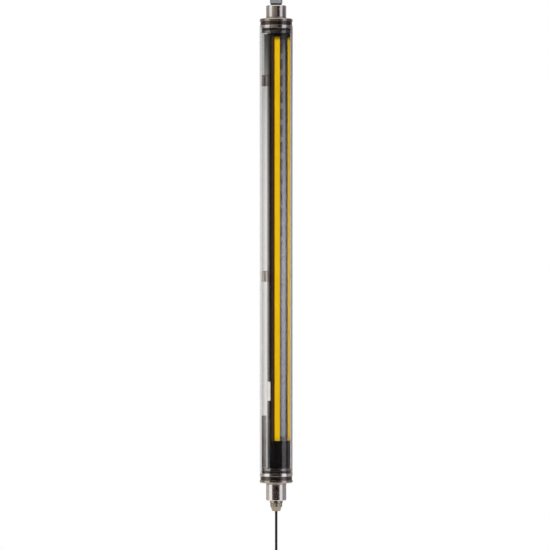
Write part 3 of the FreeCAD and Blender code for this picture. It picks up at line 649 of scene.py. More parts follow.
def softened(points: Profile, radius: float, steps: int = 3) -> Profile:
    """Rounds every corner of a closed section that lies on the positive side of the axis.

    Args:
        points: distance from the axis and height of each corner, in order.
        radius: radius of the rounds; smaller where a side is short.
        steps: straight runs in each round.

    Returns:
        The rounded section.
    """
    result: Profile = []
    for i, (r, z) in enumerate(points):
        here = Vector((r, z))
        before = Vector(points[i - 1]) - here
        after = Vector(points[(i + 1) % len(points)]) - here
        shorter = min(before.length, after.length)
        if r < NOTHING or shorter < NOTHING or before.angle(after) > FLAT:
            result.append((r, z))
            continue
        half = before.angle(after) / 2
        reach = min(radius / math.tan(half), ROUND_SHARE * shorter)
        before.normalize()
        after.normalize()
        centre = here + (before + after).normalized() * (reach / math.cos(half))
        start = here + before * reach - centre
        turn = -start.angle_signed(here + after * reach - centre)
        for step in range(steps + 1):
            cos, sin = math.cos(turn * step / steps), math.sin(turn * step / steps)
            result.append((centre.x + start.x * cos - start.y * sin,
                           centre.y + start.x * sin + start.y * cos))
    return result


def ring_points(radius: float, steps: int, middle: Range = (0.0, 0.0)) -> Profile:
    """Points round a circle, in order.

    Args:
        radius: the circle's radius.
        steps: how many points it has.
        middle: its middle.

    Returns:
        The points.
    """
    return [(middle[0] + radius * math.cos(math.tau * i / steps),
             middle[1] + radius * math.sin(math.tau * i / steps)) for i in range(steps)]


def ring_section(inner: float, outer: float, low: float, high: float) -> Profile:
    """The section of a plain ring."""
    return [(inner, low), (outer, low), (outer, high), (inner, high)]


def mesh_of(form: bmesh.types.BMesh, name: str) -> bpy.types.Mesh:
    """Turns a form into a mesh and frees the form.

    Args:
        form: the form.
        name: the mesh's name.

    Returns:
        The mesh.
    """
    mesh = bpy.data.meshes.new(name)
    form.to_mesh(mesh)
    form.free()
    return mesh


def turned_mesh(name: str, section: Profile, segments: int = 192) -> bpy.types.Mesh:
    """Revolves a section round the Z axis.

    Args:
        name: the mesh's name.
        section: corners in order round the section; the first and the last lie on the axis where
            the piece is solid there.
        segments: faces round the axis.

    Returns:
        The closed mesh.
    """
    form = bmesh.new()
    rings = []
    for r, z in section:
        around = ring_points(r, segments) if r > NOTHING else [(0.0, 0.0)]
        rings.append([form.verts.new((x, y, z)) for x, y in around])
    for low, high in zip(rings, rings[1:] + rings[:1]):
        if len(low) == len(high) == 1:
            continue
        for i in range(segments):
            k = (i + 1) % segments
            corners = (low[i % len(low)], low[k % len(low)],
                       high[k % len(high)], high[i % len(high)])
            form.faces.new(list(dict.fromkeys(corners)))
    bmesh.ops.recalc_face_normals(form, faces=form.faces)
    return mesh_of(form, name)


def prism_mesh(name: str, outline: Profile, low: float, high: float) -> bpy.types.Mesh:
    """A straight prism over an outline in X and Y, from low to high.

    Args:
        name: the mesh's name.
        outline: corners in order.
        low: height of the bottom.
        high: height of the top.

    Returns:
        The closed mesh.
    """
    form = bmesh.new()
    bottom, top = ([form.verts.new((x, y, z)) for x, y in outline] for z in (low, high))
    form.faces.new(bottom)
    form.faces.new(top)
    for i in range(len(outline)):
        k = (i + 1) % len(outline)
        form.faces.new([bottom[i], bottom[k], top[k], top[i]])
    bmesh.ops.recalc_face_normals(form, faces=form.faces)
    return mesh_of(form, name)


def added(name: str, data: bpy.types.ID) -> bpy.types.Object:
    """Puts an object with the given data into the scene.

    Args:
        name: the object's name.
        data: its mesh, curve, lamp or camera.

    Returns:
        The object.
    """
    thing = bpy.data.objects.new(name, data)
    bpy.context.scene.collection.objects.link(thing)
    return thing


def settle(piece: bpy.types.Object) -> None:
    """Turns a piece and its modifiers into a plain mesh.

    Args:
        piece: the piece.
    """
    bpy.context.view_layer.update()
    graph = bpy.context.evaluated_depsgraph_get()
    mesh = bpy.data.meshes.new_from_object(piece.evaluated_get(graph))
    piece.modifiers.clear()
    piece.data = mesh


def finish_mesh(piece: bpy.types.Object, sharp: float = 40.0, weighted: bool = True) -> None:
    """Shades a mesh smooth, with crisp edges past an angle in degrees.

    Args:
        piece: the piece.
        sharp: the angle past which an edge is crisp.
        weighted: whether large faces pull the normals towards their own.
    """
    for polygon in piece.data.polygons:
        polygon.use_smooth = True
    piece.data.set_sharp_from_angle(angle=math.radians(sharp))
    if weighted:
        modifier = piece.modifiers.new("even_normals", "WEIGHTED_NORMAL")
        modifier.keep_sharp = True
        modifier.weight = 80


def turned_piece(name: str, section: Profile, edge: float,
                 segments: int = 192) -> bpy.types.Object:
    """A turned piece with rounded corners of radius edge.

    Args:
        name: the piece's name.
        section: corners in order round the section.
        edge: radius of the rounded corners.
        segments: faces round the axis.

    Returns:
        The piece.
    """
    piece = added(name, turned_mesh(name, softened(section, edge), segments))
    finish_mesh(piece)
    return piece


def drilled(piece: bpy.types.Object, drill: bpy.types.Object) -> None:
    """Cuts a drill out of a piece; the drill is used up.

    Args:
        piece: the piece.
        drill: the form that is cut out.
    """
    modifier = piece.modifiers.new("drill", "BOOLEAN")
    modifier.operation = "DIFFERENCE"
    modifier.solver = "EXACT"
    modifier.object = drill
    settle(piece)
    bpy.data.objects.remove(drill)


def dress(piece: bpy.types.Object, finish: AnyFinish, slot: str, *nodes: str) -> None:
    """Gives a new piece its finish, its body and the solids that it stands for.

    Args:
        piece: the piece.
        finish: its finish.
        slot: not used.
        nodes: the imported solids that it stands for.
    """
    piece.data.materials.clear()
    piece.data.materials.append(material_of(finish))
    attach(piece, ROOT)
    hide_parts(*nodes)
    LOG.info("%s: made, stands for %s", piece.name, ", ".join(nodes))


def dress_nodes(finish: AnyFinish, *names: str) -> None:
    """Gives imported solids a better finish.

    Args:
        finish: the finish.
        names: the solids' names.
    """
    for name in names:
        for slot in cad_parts[name].material_slots:
            slot.material = material_of(finish)
        LOG.info("%s: packed solid, %s", name, finish.name)


def refined(node: str, name: str, edge: float, finish: AnyFinish, slot: str) -> None:
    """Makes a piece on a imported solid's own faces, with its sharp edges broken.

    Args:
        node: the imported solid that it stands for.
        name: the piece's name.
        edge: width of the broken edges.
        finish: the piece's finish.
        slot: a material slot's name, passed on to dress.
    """
    form = bmesh.new()
    form.from_mesh(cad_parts[node].data)
    bmesh.ops.remove_doubles(form, verts=form.verts, dist=WELD)
    bmesh.ops.dissolve_limit(form, angle_limit=LEVEL, verts=form.verts, edges=form.edges)
    piece = added(name, mesh_of(form, name))
    bevel = piece.modifiers.new("broken_edges", "BEVEL")
    bevel.width = edge
    bevel.segments = 2
    bevel.limit_method = "ANGLE"
    bevel.angle_limit = math.radians(SHARP_DEGREES)
    bevel.harden_normals = True
    finish_mesh(piece, SHARP_DEGREES, False)
    settle(piece)
    dress(piece, finish, slot, node)


def reach_of(node: str) -> Range:
    """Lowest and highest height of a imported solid."""
    low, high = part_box(node)
    return low[2], high[2]


def radius_of(node: str) -> float:
    """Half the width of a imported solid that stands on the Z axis."""
    low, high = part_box(node)
    return (high[0] - low[0]) / 2


# ---------------------------------------------------------------- sub-assemblies
@dataclass
class ProtectiveTube:
    """The clear tube."""

    wall: float = 3.0 * MM
    edge: float = 0.5 * MM
    segments: int = 256

    def build(self) -> None:
        """Makes the tube with its polished, slightly broken edges."""
        outer = radius_of("protective_tube")
        section = ring_section(outer - self.wall, outer, *reach_of("protective_tube"))
        tube = turned_piece("clear_tube", section, self.edge, self.segments)
        tube.visible_shadow = False
        dress(tube, CLEAR_TUBE, "clear_tube", "protective_tube")


@dataclass
class EndPiece:
    """A piece at one end, drawn for the upper end and turned over for the lower one."""

    end: End

    def flipped(self, section: Profile) -> Profile:
        """The section with its heights turned over for the lower end."""
        return [(r, z * self.end.value) for r, z in section]

    @staticmethod
    def reach(node: str) -> Range:
        """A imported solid's nearest and farthest height from the middle."""
        near, far = sorted(abs(z) for z in reach_of(node))
        return near, far


@dataclass
class EndCap(EndPiece):
    """A turned cap with its spigot, groove, flange and O-ring."""

    ring_height: float = 5.2 * MM
    groove_height: float = 7.2 * MM
    groove_depth: float = 1.2 * MM
    flange_chamfer: float = 1.5 * MM
    spigot_radius: float = 26.75 * MM
    spigot_inner_radius: float = 20.5 * MM
    bore_radius: float = 9.2 * MM
    ring_groove_radius: float = 23.55 * MM
    ring_groove_width: float = 3.9 * MM
    ring_circle: float = 25.25 * MM
    ring_radius: float = 1.7 * MM
    edge: float = 0.25 * MM
    margin: float = 0.01 * MM

    def zone(self, cap: bpy.types.Object, finish: AnyFinish, low: float, high: float) -> None:
        """Gives the faces between two distances from the middle a finish of their own, darker
        steel that paints shade and dim reflection on them.

        Args:
            cap: the turned cap.
            finish: the faces' finish.
            low: where they begin.
            high: where they end.
        """
        index = len(cap.data.materials)
        cap.data.materials.append(material_of(finish))
        for polygon in cap.data.polygons:
            if low < abs(polygon.center.z) - self.margin < high:
                polygon.material_index = index

    def build(self) -> None:
        """Makes the cap and its O-ring."""
        name = f"{self.end.word}_cap"
        low, high = self.reach(name)
        outer = radius_of(name)
        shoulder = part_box("protective_tube")[1][2]
        ring_middle = sum(self.reach(f"{name}_oring")) / 2
        ring_low = ring_middle - self.ring_groove_width / 2
        ring_high = ring_middle + self.ring_groove_width / 2
        groove_start = shoulder + self.ring_height
        groove_end = groove_start + self.groove_height
        section = [
            (self.bore_radius, shoulder), (self.spigot_inner_radius, shoulder),
            (self.spigot_inner_radius, low), (self.spigot_radius, low),
            (self.spigot_radius, ring_low), (self.ring_groove_radius, ring_low),
            (self.ring_groove_radius, ring_high), (self.spigot_radius, ring_high),
            (self.spigot_radius, shoulder), (outer, shoulder), (outer, groove_start),
            (outer - self.groove_depth, groove_start), (outer - self.groove_depth, groove_end),
            (outer, groove_end), (outer, high - self.flange_chamfer),
            (outer - self.flange_chamfer, high), (self.bore_radius, high),
        ]
        cap = turned_piece(f"{name}_turned", self.flipped(section), self.edge, 256)
        dress(cap, TURNED_STEEL, "turned_steel", name)
        # painted shade on the spigot inside the tube and in the groove, and a painted dim, warm
        # reflection on the flange: the cap itself is one steel
        self.zone(cap, SPIGOT_STEEL, low, shoulder)
        self.zone(cap, GROOVE_STEEL, groove_start, groove_end)
        self.zone(cap, FLANGE_STEEL, groove_end, high)
        ring = self.flipped(ring_points(self.ring_radius, 16, (self.ring_circle, ring_middle)))
        seal = added(f"{name}_seal", turned_mesh(f"{name}_seal", ring))
        finish_mesh(seal, 80.0, False)
        dress(seal, BLACK_RUBBER, "black_rubber", f"{name}_oring")


@dataclass
class Boss(EndPiece):
    """A turned boss with its stem, its washer and the spanner hole."""

    chamfer: float = 1.2 * MM
    stem_radius: float = 9.0 * MM
    stem_gap: float = 0.2 * MM
    wire_bore: float = 3.2 * MM
    pocket_radius: float = 6.0 * MM
    pocket_depth: float = 13.0 * MM
    hole_radius: float = 2.25 * MM
    hole_depth: float = 4.0 * MM
    edge: float = 0.2 * MM
    washer_edge: float = 0.3 * MM

    def build(self) -> None:
        """Makes the washer and the boss."""
        name = f"{self.end.word}_boss"
        low, high = self.reach(f"{name}_washer")
        ring = ring_section(self.stem_radius + self.stem_gap, radius_of(f"{name}_washer"),
                            low, high)
        washer = turned_piece(f"{name}_washer_turned", self.flipped(ring), self.washer_edge)
        dress(washer, WASHER_STEEL, "washer_steel", f"{name}_washer")
        stem_end, top = self.reach(name)
        radius = radius_of(name)
        pocket_floor = top - self.pocket_depth
        section = [
            (self.wire_bore, stem_end), (self.stem_radius, stem_end), (self.stem_radius, high),
            (radius, high), (radius, top - self.chamfer), (radius - self.chamfer, top),
            (self.pocket_radius, top), (self.pocket_radius, pocket_floor),
            (self.wire_bore, pocket_floor),
        ]
        boss = turned_piece(f"{name}_turned", self.flipped(section), self.edge)
        self.spanner_hole(boss, radius, (high + top) / 2 * self.end.value)
        dress(boss, TURNED_STEEL, "turned_steel", name)

    def spanner_hole(self, boss: bpy.types.Object, radius: float, height: float) -> None:
        """Drills the blind hole for a pin spanner into the rear of the boss.

        Args:
            boss: the turned boss.
            radius: the boss's radius.
            height: the hole's height.
        """
        mesh = prism_mesh("pin_drill", ring_points(self.hole_radius, 32), -radius - self.edge,
                          self.hole_depth - radius)
        mesh.transform(Matrix.Translation((0.0, 0.0, height))
                       @ Matrix.Rotation(math.radians(90.0), 4, "X"))
        boss.modifiers.clear()
        drilled(boss, added("pin_drill", mesh))
        finish_mesh(boss, 30.0)


@dataclass
class VentPlug:
    """The grey vent plug on top, with its seal and membrane."""

    seal_radius: float = 10.0 * MM
    seal_bore: float = 6.2 * MM
    seal_edge: float = 0.5 * MM
    edge: float = 0.35 * MM

    def build(self) -> None:
        """Makes the ring under the plug's head and dresses the plug."""
        section = ring_section(self.seal_bore, self.seal_radius, *reach_of("vent_seal_ring"))
        seal = turned_piece("vent_seal", section, self.seal_edge, 128)
        dress(seal, BLACK_RUBBER, "black_rubber", "vent_seal_ring")
        refined("vent_plug", "vent_plug_head", self.edge, GREY_VENT, "grey_vent")
        dress_nodes(MEMBRANE, "vent_membrane")


@dataclass
class CableGland:
    """The cable gland under the lower boss."""

    edge: float = 0.3 * MM

    def build(self) -> None:
        """Makes the collar and the domed nut, and dresses what they hold."""
        refined("gland_body", "gland_collar", self.edge, COLLAR_STEEL, "satin_steel")
        refined("gland_nut", "gland_dome_nut", self.edge, SATIN_STEEL, "satin_steel")
        dress_nodes(COLLAR_STEEL, "gland_washer")
        dress_nodes(BLACK_RUBBER, "gland_seal_insert")


@dataclass
class CurtainProfile:
    """The slim extruded housing with its strips and window."""

    face_half: float = 8.5 * MM
    flange_depth: float = 1.4 * MM
    pocket_half: float = 6.9 * MM
    window_wall: float = 1.5 * MM
    edge: float = 0.3 * MM

    def build(self) -> None:
        """Makes the window and dresses the housing and the strips."""
        dress_nodes(BLACK_ANODISED, "profile_housing")
        dress_nodes(YELLOW_STRIP, "left_yellow_strip", "right_yellow_strip")
        self.window()

    def window(self) -> None:
        """Makes the window: a hollow face with a flange on each side."""
        low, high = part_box("front_window")
        front, back, flange = low[1], high[1], high[0]
        step = back - self.flange_depth
        right = [(self.face_half, front), (self.face_half, step), (flange, step), (flange, back),
                 (self.pocket_half, back), (self.pocket_half, front + self.window_wall)]
        outline = softened(right + [(-x, y) for x, y in reversed(right)], self.edge)
        window = added("clear_front_window",
                       prism_mesh("clear_front_window", outline, low[2], high[2]))
        window.visible_shadow = False
        finish_mesh(window)
        dress(window, SMOKED_WINDOW, "smoked_window", "front_window")


@dataclass
class Optics:
    """Lens strip, carrier, circuit board and diodes."""

    pitch: float = 30.0 * MM
    plate_thickness: float = 1.2 * MM
    lens_width: float = 10.4 * MM
    lens_height: float = 22.0 * MM
    lens_rise: float = 1.5 * MM

    def build(self) -> None:
        """Makes the lens strip and dresses what stands behind it."""
        self.lens_strip()
        dress_nodes(BLACK_PLASTIC, "optics_carrier", "board_connector")
        dress_nodes(BOARD_GREEN, "circuit_board")
        dress_nodes(DIODE_EPOXY, "beam_diodes")

    def lens_strip(self) -> None:
        """Makes the strip: a plate with one tall dome in front of each beam."""
        low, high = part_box("lens_strip")
        back = high[1]
        front = back - self.plate_thickness
        tree = Repeat("lens_domes")
        beams = tree.size("Beams", round((high[2] - low[2]) / self.pitch))
        pitch = tree.size("Pitch", self.pitch)
        first = tree.size("First height", low[2] + self.pitch / 2)
        radius = tree.size("Half lens width", self.lens_width / 2)
        rise = tree.size("Lens rise", self.lens_rise)
        straight = tree.size("Half straight length", (self.lens_height - self.lens_width) / 2)
        face = tree.size("Plate face", front)
        depth = tree.size("Plate depth", self.plate_thickness)
        width = tree.size("Plate width", high[0] - low[0])
        line = tree.node("GeometryNodeMeshLine", {
            "Count": beams, "Start Location": tree.vector(Y=face, Z=first),
            "Offset": tree.vector(Z=pitch)})
        ball = tree.node("GeometryNodeMeshUVSphere", {"Segments": 32, "Rings": 15, "Radius": 1.0})
        oval = tree.node("GeometryNodeTransform", {
            "Geometry": ball.outputs[0], "Scale": tree.vector(X=radius, Y=rise, Z=radius)})
        place = tree.node("GeometryNodeInputPosition").outputs[0]
        half = tree.result("SIGN", tree.node("ShaderNodeSeparateXYZ", {0: place}).outputs["Z"])
        capsule = tree.node("GeometryNodeSetPosition", {
            "Geometry": oval.outputs[0],
            "Offset": tree.vector(Z=tree.result("MULTIPLY", half, straight))})
        domes = tree.node("GeometryNodeInstanceOnPoints", {
            "Points": line.outputs[0], "Instance": capsule.outputs[0]})
        total = tree.result("MULTIPLY", beams, pitch)
        plate = tree.node("GeometryNodeMeshCube", {
            "Size": tree.vector(X=width, Y=depth, Z=total)})
        placed = tree.node("GeometryNodeTransform", {
            "Geometry": plate.outputs[0],
            "Translation": (0.0, (front + back) / 2, (low[2] + high[2]) / 2)})
        joined = tree.node("GeometryNodeJoinGeometry")
        for form in (domes, placed):
            tree.give(joined.inputs[0], form.outputs[0])
        strip = tree.finished(joined.outputs[0], LENS_PLASTIC, "lens_domes")
        finish_mesh(strip, SHARP_DEGREES, False)
        dress(strip, LENS_PLASTIC, "lens_plastic", "lens_strip")


@dataclass
class EndBlocks:
    """The blocks that close the housing, with gaskets, adapters and screws."""

    edge: float = 0.3 * MM

    def build(self) -> None:
        """Dresses both ends."""
        for end in End:
            refined(f"{end.word}_end_block", f"{end.word}_block_moulding", self.edge,
                    BLACK_PLASTIC, "black_plastic")
            dress_nodes(BLACK_RUBBER, f"{end.word}_block_gasket")
            dress_nodes(ADAPTER_ALLOY, f"{end.word}_adapter")
            dress_nodes(ZINC, f"{end.word}_block_screws")


@dataclass
class SpacerClips:
    """The two clips that steady the housing in the tube."""

    def build(self) -> None:
        """Dresses both clips."""
        # the upper clip takes a darker copy of the same plastic: painted shade
        dress_nodes(SHADED_UPPER_CLIP, "upper_spacer_clip")
        dress_nodes(SMOKED_CLIP, "lower_spacer_clip")


@dataclass
class Labels:
    """The plain label on the housing and the dark one in the tube."""

    gap: float = 0.2 * MM

    def build(self) -> None:
        """Makes both labels, which stay bare."""
        dress_nodes(PLAIN_LABEL, "side_label")
        self.rating_label()

    def rating_label(self) -> None:
        """Makes the dark film on the tube's bore, which runs down to the lower cap's spigot."""
        low, high = reach_of("rating_label")
        foot = reach_of("lower_cap")[1] + self.gap
        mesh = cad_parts["rating_label"].data.copy()
        for vertex in mesh.vertices:
            if vertex.co.z < (low + high) / 2:
                vertex.co.z += foot - low
        dress(added("rating_label_film", mesh), DARK_LABEL, "dark_label", "rating_label")


@dataclass
class ConnectionCable:
    """The black cable: a straight drop, then a tied coil of the length that is put away."""

    diameter: float = 4.6 * MM
    pitch: float = 4.7 * MM
    mean_radius: float = 24.0 * MM
    coil_height: float = -637.0 * MM
    length: float = 1.85
    # degrees between control points, and the power of half a step's cosine that they stand off by
    step: int = 18
    stand_off: float = 0.67
    turns: int = 11
    # degrees at which the cable goes over to the next turn, and half of what it takes for it
    shift_at: int = 135
    shift_half: int = 30
    bulge: float = 2.0 * MM
    middle_column: float = 1.5
    # column and row of each turn in the coil's section
    slots: tuple[tuple[int, int], ...] = (
        (0, 1), (0, 0), (0, -1), (1, -1), (1, 0), (1, 1),
        (2, 1), (2, 0), (2, -1), (3, -1), (3, 0), (3, 1))
    # control points from the gland to the coil, and from the coil to the bare end
    lead: tuple[Place, ...] = ((0.0, 0.0, -0.471), (0.0, 0.0, -0.522), (0.0, 0.0, -0.568),
                               (-0.0287, -0.00705, -0.603))
    tail: tuple[Place, ...] = ((-0.0287, 0.00705, -0.655), (-0.0287, 0.00705, -0.671))

    def slot_place(self, index: int) -> Range:
        """Distance from the coil's middle and place across it of one turn."""
        column, row = self.slots[index]
        return self.mean_radius + row * self.pitch, (column - self.middle_column) * self.pitch

    def coil_point(self, angle: float) -> Place:
        """The control point of the coil at an angle in degrees, counted on from the entry.

        Args:
            angle: the angle.

        Returns:
            The point.
        """
        first_shift = self.shift_at + 360
        index = max(0, math.floor((angle - first_shift + 180) / 360))
        centre = first_shift + 360 * index
        share = min(1.0, max(0.0, (angle - centre + self.shift_half) / (2 * self.shift_half)))
        share = share * share * (3 - 2 * share)
        after = min(index + 1, len(self.slots) - 1)
        r0, y0 = self.slot_place(index)
        r1, y1 = self.slot_place(after)
        out = 0.0
        if self.slots[index][0] != self.slots[after][0]:
            out = self.bulge * math.sin(math.pi * share) * self.slots[index][1]
        half_step = math.radians(self.step / 2)
        r = (r0 + (r1 - r0) * share + out) / math.cos(half_step) ** self.stand_off
        turn = math.radians(angle)
        return (r * math.cos(turn), y0 + (y1 - y0) * share, self.coil_height + r * math.sin(turn))

    def route(self) -> list[Place]:
        """Control points of the whole cable, from the gland to its end.

        Returns:
            The points, in order.
        """
        last = 180 + 360 * self.turns
        coil = [self.coil_point(angle) for angle in range(180, last + 1, self.step)]
        return [*self.lead, *coil, *self.tail]

    def build(self) -> None:
        """Makes the cable and dresses the pieces on it."""
        curve = bpy.data.curves.new("connection_cable", "CURVE")
        curve.dimensions = "3D"
        curve.bevel_depth = self.diameter / 2
        curve.bevel_resolution = curve.resolution_u = 4
        curve.use_fill_caps = True
        line = curve.splines.new("NURBS")
        points = self.route()
        line.points.add(len(points) - 1)
        for point, place in zip(line.points, points):
            point.co = (*place, 1.0)
        line.order_u = 3
        line.use_endpoint_u = True
        cable = added("connection_cable", curve)
        dress(cable, CABLE_JACKET, "cable_jacket", "cable", "cable_coil")
        dress_nodes(CABLE_JACKET, "cable_inner_run")
        dress_nodes(TIE_NYLON, "cable_ties")
        dress_nodes(CORE_WIRE, "lead_cores")
        dress_nodes(TINNED, "core_ferrules")


# ---------------------------------------------------------------- studio
@dataclass(frozen=True)
class Card:
    """An upright curved card round the tube, for its mirror images and the light through it.

    The angles are in degrees round from the camera. Fades are heights with the share of the
    colour there; a card that isn't plain shows white to light that only passes through.
    """

    start: float
    stop: float
    colour: Colour
    fades: Shares = ()
    plain: bool = False

    def material(self, name: str) -> bpy.types.Material:
        """Makes the card's glow.

        Args:
            name: the material's name.

        Returns:
            The material.
        """
        shading = Shading(name, "ShaderNodeEmission")
        shown = shading.faded(self.colour, self.fades)
        if not self.plain:
            path = shading.node("ShaderNodeLightPath").outputs
            bounced = shading.result("ADD", path["Glossy Depth"], path["Diffuse Depth"],
                                     use_clamp=True)
            shown = shading.blend(bounced, WHITE, shown)
        shading.put(Color=shown)
        return shading.material


@dataclass(frozen=True)
class Lamp:
    """A soft square lamp at the origin's height, in degrees round from the camera and watts."""

    name: str
    around: float
    distance: float
    size: float
    power: float


# heights and shares of the colour: the rims, what lies behind, and the pale side card
RIM_FADE = ((0.11, 1.0), (0.345, 0.92), (0.47, 0.84))
EDGE_FADE = ((-0.20, 0.90), (0.11, 0.95), (0.29, 0.86), (0.345, 0.76), (0.43, 0.67), (0.467, 0.60))
BACK_FADE = ((0.10, 1.0), (0.22, 0.90), (0.33, 0.72), (0.361, 0.64), (0.372, 0.52), (0.378, 0.27),
             (0.429, 0.15), (0.467, 0.06))
LEFT_FADE = ((-0.47, 1.0), (0.28, 1.0), (0.36, 0.72), (0.43, 0.42), (0.486, 0.30))
RIGHT_FADE = ((-0.45, 0.6), (-0.30, 0.8), (-0.03, 1.0), (0.11, 0.75), (0.30, 0.25), (0.44, 0.05))
SIDE_FADE = ((-0.45, 0.40), (-0.30, 0.62), (-0.03, 1.0), (0.11, 0.85), (0.30, 0.36), (0.44, 0.14))


@dataclass
class Studio:
    """Floor, light and camera."""

    azimuth: float = -36.0
    distance: float = 8.0
    lens: float = 289.3
    sensor: float = 36.0
    clip: Range = (0.5, 40.0)
    camera_height: float = -0.0438
    sideways: float = -0.0022
    floor_height: float = -0.745
    floor_half: float = 1.5
    floor_grey: Colour = (0.35, 0.35, 0.35)
    floor_glow: float = 1.2
    soft_level: float = 0.62
    card_distance: float = 1.5
    card_step: float = 3.0
    # heights at which the cards for the tube begin and end, as its mirror image shows them
    tube_band: Range = (-0.470, 0.486)
    card_reach: float = 2.2
    lamps: tuple[Lamp, ...] = (Lamp("key_lamp", -45.0, 2.2, 1.6, 61.0),
                               Lamp("fill_lamp", 60.0, 1.7, 1.1, 33.0))
    tube_cards: tuple[Card, ...] = (
        Card(-163.0, -127.0, (0.80, 0.79, 0.78), RIM_FADE),
        Card(-127.0, -92.0, (0.12, 0.11, 0.105)),
        Card(-92.0, -48.0, WHITE, LEFT_FADE),
        Card(-48.0, 42.0, (0.002, 0.001, 0.001)),
        Card(42.0, 75.0, (2.15, 2.1, 2.32), SIDE_FADE),
        Card(75.0, 88.0, (0.02, 0.01, 0.01)),
        Card(88.0, 122.0, (0.48, 0.44, 0.38), RIGHT_FADE),
        Card(122.0, 163.0, (0.34, 0.33, 0.35), EDGE_FADE),
        Card(163.0, 172.0, WHITE, EDGE_FADE, True),
        Card(172.0, 188.0, WHITE, BACK_FADE, True),
        Card(188.0, 197.0, WHITE, EDGE_FADE, True))
    upper_cards: tuple[Card, ...] = (
        Card(-163.0, -134.0, (0.36, 0.33, 0.32)), Card(-134.0, -84.0, (0.38, 0.31, 0.28)),
        Card(-48.0, -18.0, (0.36, 0.31, 0.27)), Card(-18.0, 11.0, (0.24, 0.17, 0.12)),
        Card(11.0, 42.0, (0.02, 0.012, 0.012)), Card(42.0, 75.0, (0.80, 0.81, 0.86)),
        Card(75.0, 122.0, (0.17, 0.13, 0.15)), Card(122.0, 163.0, (0.33, 0.30, 0.31)))
    lower_cards: tuple[Card, ...] = (
        Card(-163.0, -134.0, (0.36, 0.33, 0.32)), Card(-134.0, -84.0, (0.60, 0.54, 0.45)),
        Card(-48.0, -30.0, (0.12, 0.085, 0.07)), Card(-30.0, -8.0, (0.04, 0.015, 0.01)),
        Card(-8.0, 20.0, (0.01, 0.0, 0.0)), Card(20.0, 38.0, (0.07, 0.035, 0.03)),
        Card(38.0, 75.0, (0.80, 0.81, 0.84)), Card(75.0, 122.0, (0.30, 0.27, 0.28)),
        Card(122.0, 163.0, (0.33, 0.30, 0.31)))

    def way(self, around: float) -> Vector:
        """Level direction from the object at an angle in degrees round from the camera."""
        turn = math.radians(self.azimuth - 90.0 + around)
        return Vector((math.cos(turn), math.sin(turn), 0.0))

    def floor(self) -> None:
        """A pale matt floor under the coil."""
        shading = Shading("studio_floor_matt")
        tone = shading.blend(shading.noise(shading.place, 40.0), scaled(self.floor_grey, 0.99),
                             self.floor_grey)
        shading.put(Base_Color=tone, Roughness=0.9, Specular_IOR_Level=0.1,
                    Emission_Color=self.floor_grey, Emission_Strength=self.floor_glow)
        form = bmesh.new()
        bmesh.ops.create_circle(form, cap_ends=True, segments=96, radius=self.floor_half)
        mesh = mesh_of(form, "studio_floor")
        mesh.transform(Matrix.Translation((0.0, 0.0, self.floor_height)))
        mesh.materials.append(shading.material)
        added("studio_floor", mesh)

    def place_card(self, name: str, card: Card, heights: Range) -> None:
        """Puts up one card, which the camera itself doesn't see.

        Args:
            name: the card's name.
            card: its place and colour.
            heights: where it begins and ends.
        """
        form = bmesh.new()
        width = card.stop - card.start
        steps = max(2, round(width / self.card_step))
        feet = [self.way(card.start + width * i / steps) * self.card_distance
                for i in range(steps + 1)]
        low, high = ([form.verts.new((foot.x, foot.y, z)) for foot in feet] for z in heights)
        for i in range(steps):
            form.faces.new([low[i], low[i + 1], high[i + 1], high[i]])
        mesh = mesh_of(form, name)
        mesh.materials.append(card.material(name))
        stood = added(name, mesh)
        stood.visible_camera = stood.visible_diffuse = stood.visible_shadow = False

    def world(self) -> None:
        """White all round, a little softer as a light on matt surfaces."""
        world = bpy.data.worlds.new("soft_white")
        bpy.context.scene.world = world
        world.use_nodes = True
        work = NodeWork(world.node_tree)
        work.tree.nodes.clear()
        path = work.node("ShaderNodeLightPath").outputs
        seen = work.result("MAXIMUM", path["Is Camera Ray"], path["Is Glossy Ray"])
        seen = work.result("MAXIMUM", seen, path["Is Transmission Ray"])
        level = work.node("ShaderNodeMapRange", {
            "Value": seen, "To Min": self.soft_level, "To Max": 1.0})
        back = work.node("ShaderNodeBackground", {
            "Color": WHITE, "Strength": level.outputs["Result"]})
        work.node("ShaderNodeOutputWorld", {"Surface": back.outputs[0]})

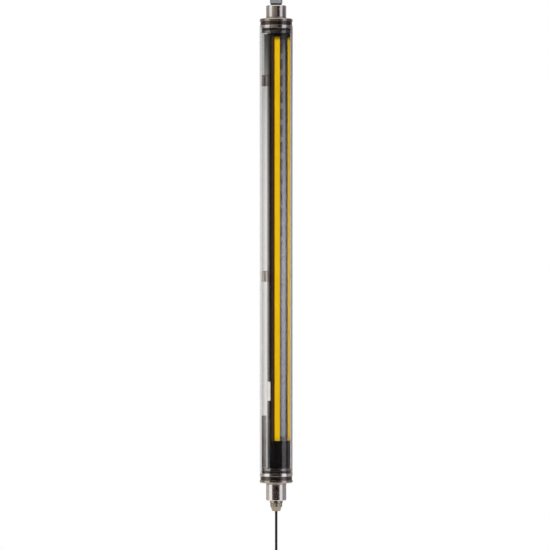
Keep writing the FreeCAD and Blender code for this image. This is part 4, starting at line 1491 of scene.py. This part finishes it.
    @staticmethod
    def aimed(name: str, data: bpy.types.ID, place: Vector, outward: Vector) -> bpy.types.Object:
        """Puts a lamp or a camera at a place, facing against a level direction.

        Args:
            name: the object's name.
            data: the lamp's or the camera's data.
            place: where it stands.
            outward: the direction that it faces against.

        Returns:
            The object.
        """
        stood = added(name, data)
        stood.location = place
        stood.rotation_mode = "QUATERNION"
        stood.rotation_quaternion = (-outward).to_track_quat("-Z", "Y")
        return stood

    def light(self, lamp: Lamp) -> None:
        """Puts up one lamp, which lights matt surfaces only.

        Args:
            lamp: its place, size and power.
        """
        data = bpy.data.lights.new(lamp.name, "AREA")
        data.size = lamp.size
        data.energy = lamp.power
        outward = self.way(lamp.around)
        stood = self.aimed(lamp.name, data, outward * lamp.distance, outward)
        stood.visible_camera = stood.visible_glossy = stood.visible_transmission = False

    def camera(self) -> None:
        """A level camera with a long lens."""
        data = bpy.data.cameras.new("studio_camera")
        data.sensor_width = self.sensor
        data.lens = self.lens
        data.clip_start, data.clip_end = self.clip
        outward = self.way(0.0)
        place = outward * self.distance + self.way(90.0) * self.sideways
        place.z = self.camera_height
        bpy.context.scene.camera = self.aimed("studio_camera", data, place, outward)

    def build(self) -> None:
        """Sets the whole studio up."""
        self.world()
        self.floor()
        low, high = self.tube_band
        for word, cards, heights in (("tube", self.tube_cards, (low, high)),
                                     ("upper", self.upper_cards, (high, self.card_reach)),
                                     ("lower", self.lower_cards, (-self.card_reach, low))):
            for index, card in enumerate(cards):
                self.place_card(f"{word}_card_{index}", card, heights)
        for lamp in self.lamps:
            self.light(lamp)
        self.camera()
        bpy.context.scene.view_settings.view_transform = "Standard"


def main() -> None:
    """Builds every sub-assembly in order and sets the studio up."""
    logging.basicConfig(level=logging.INFO, format="%(name)s: %(message)s")
    ConnectionCable().build()
    ProtectiveTube().build()
    for end in End:
        EndCap(end).build()
        Boss(end).build()
    VentPlug().build()
    CableGland().build()
    CurtainProfile().build()
    Optics().build()
    EndBlocks().build()
    SpacerClips().build()
    Labels().build()
    Studio().build()


if __name__ == "__main__":
    main()
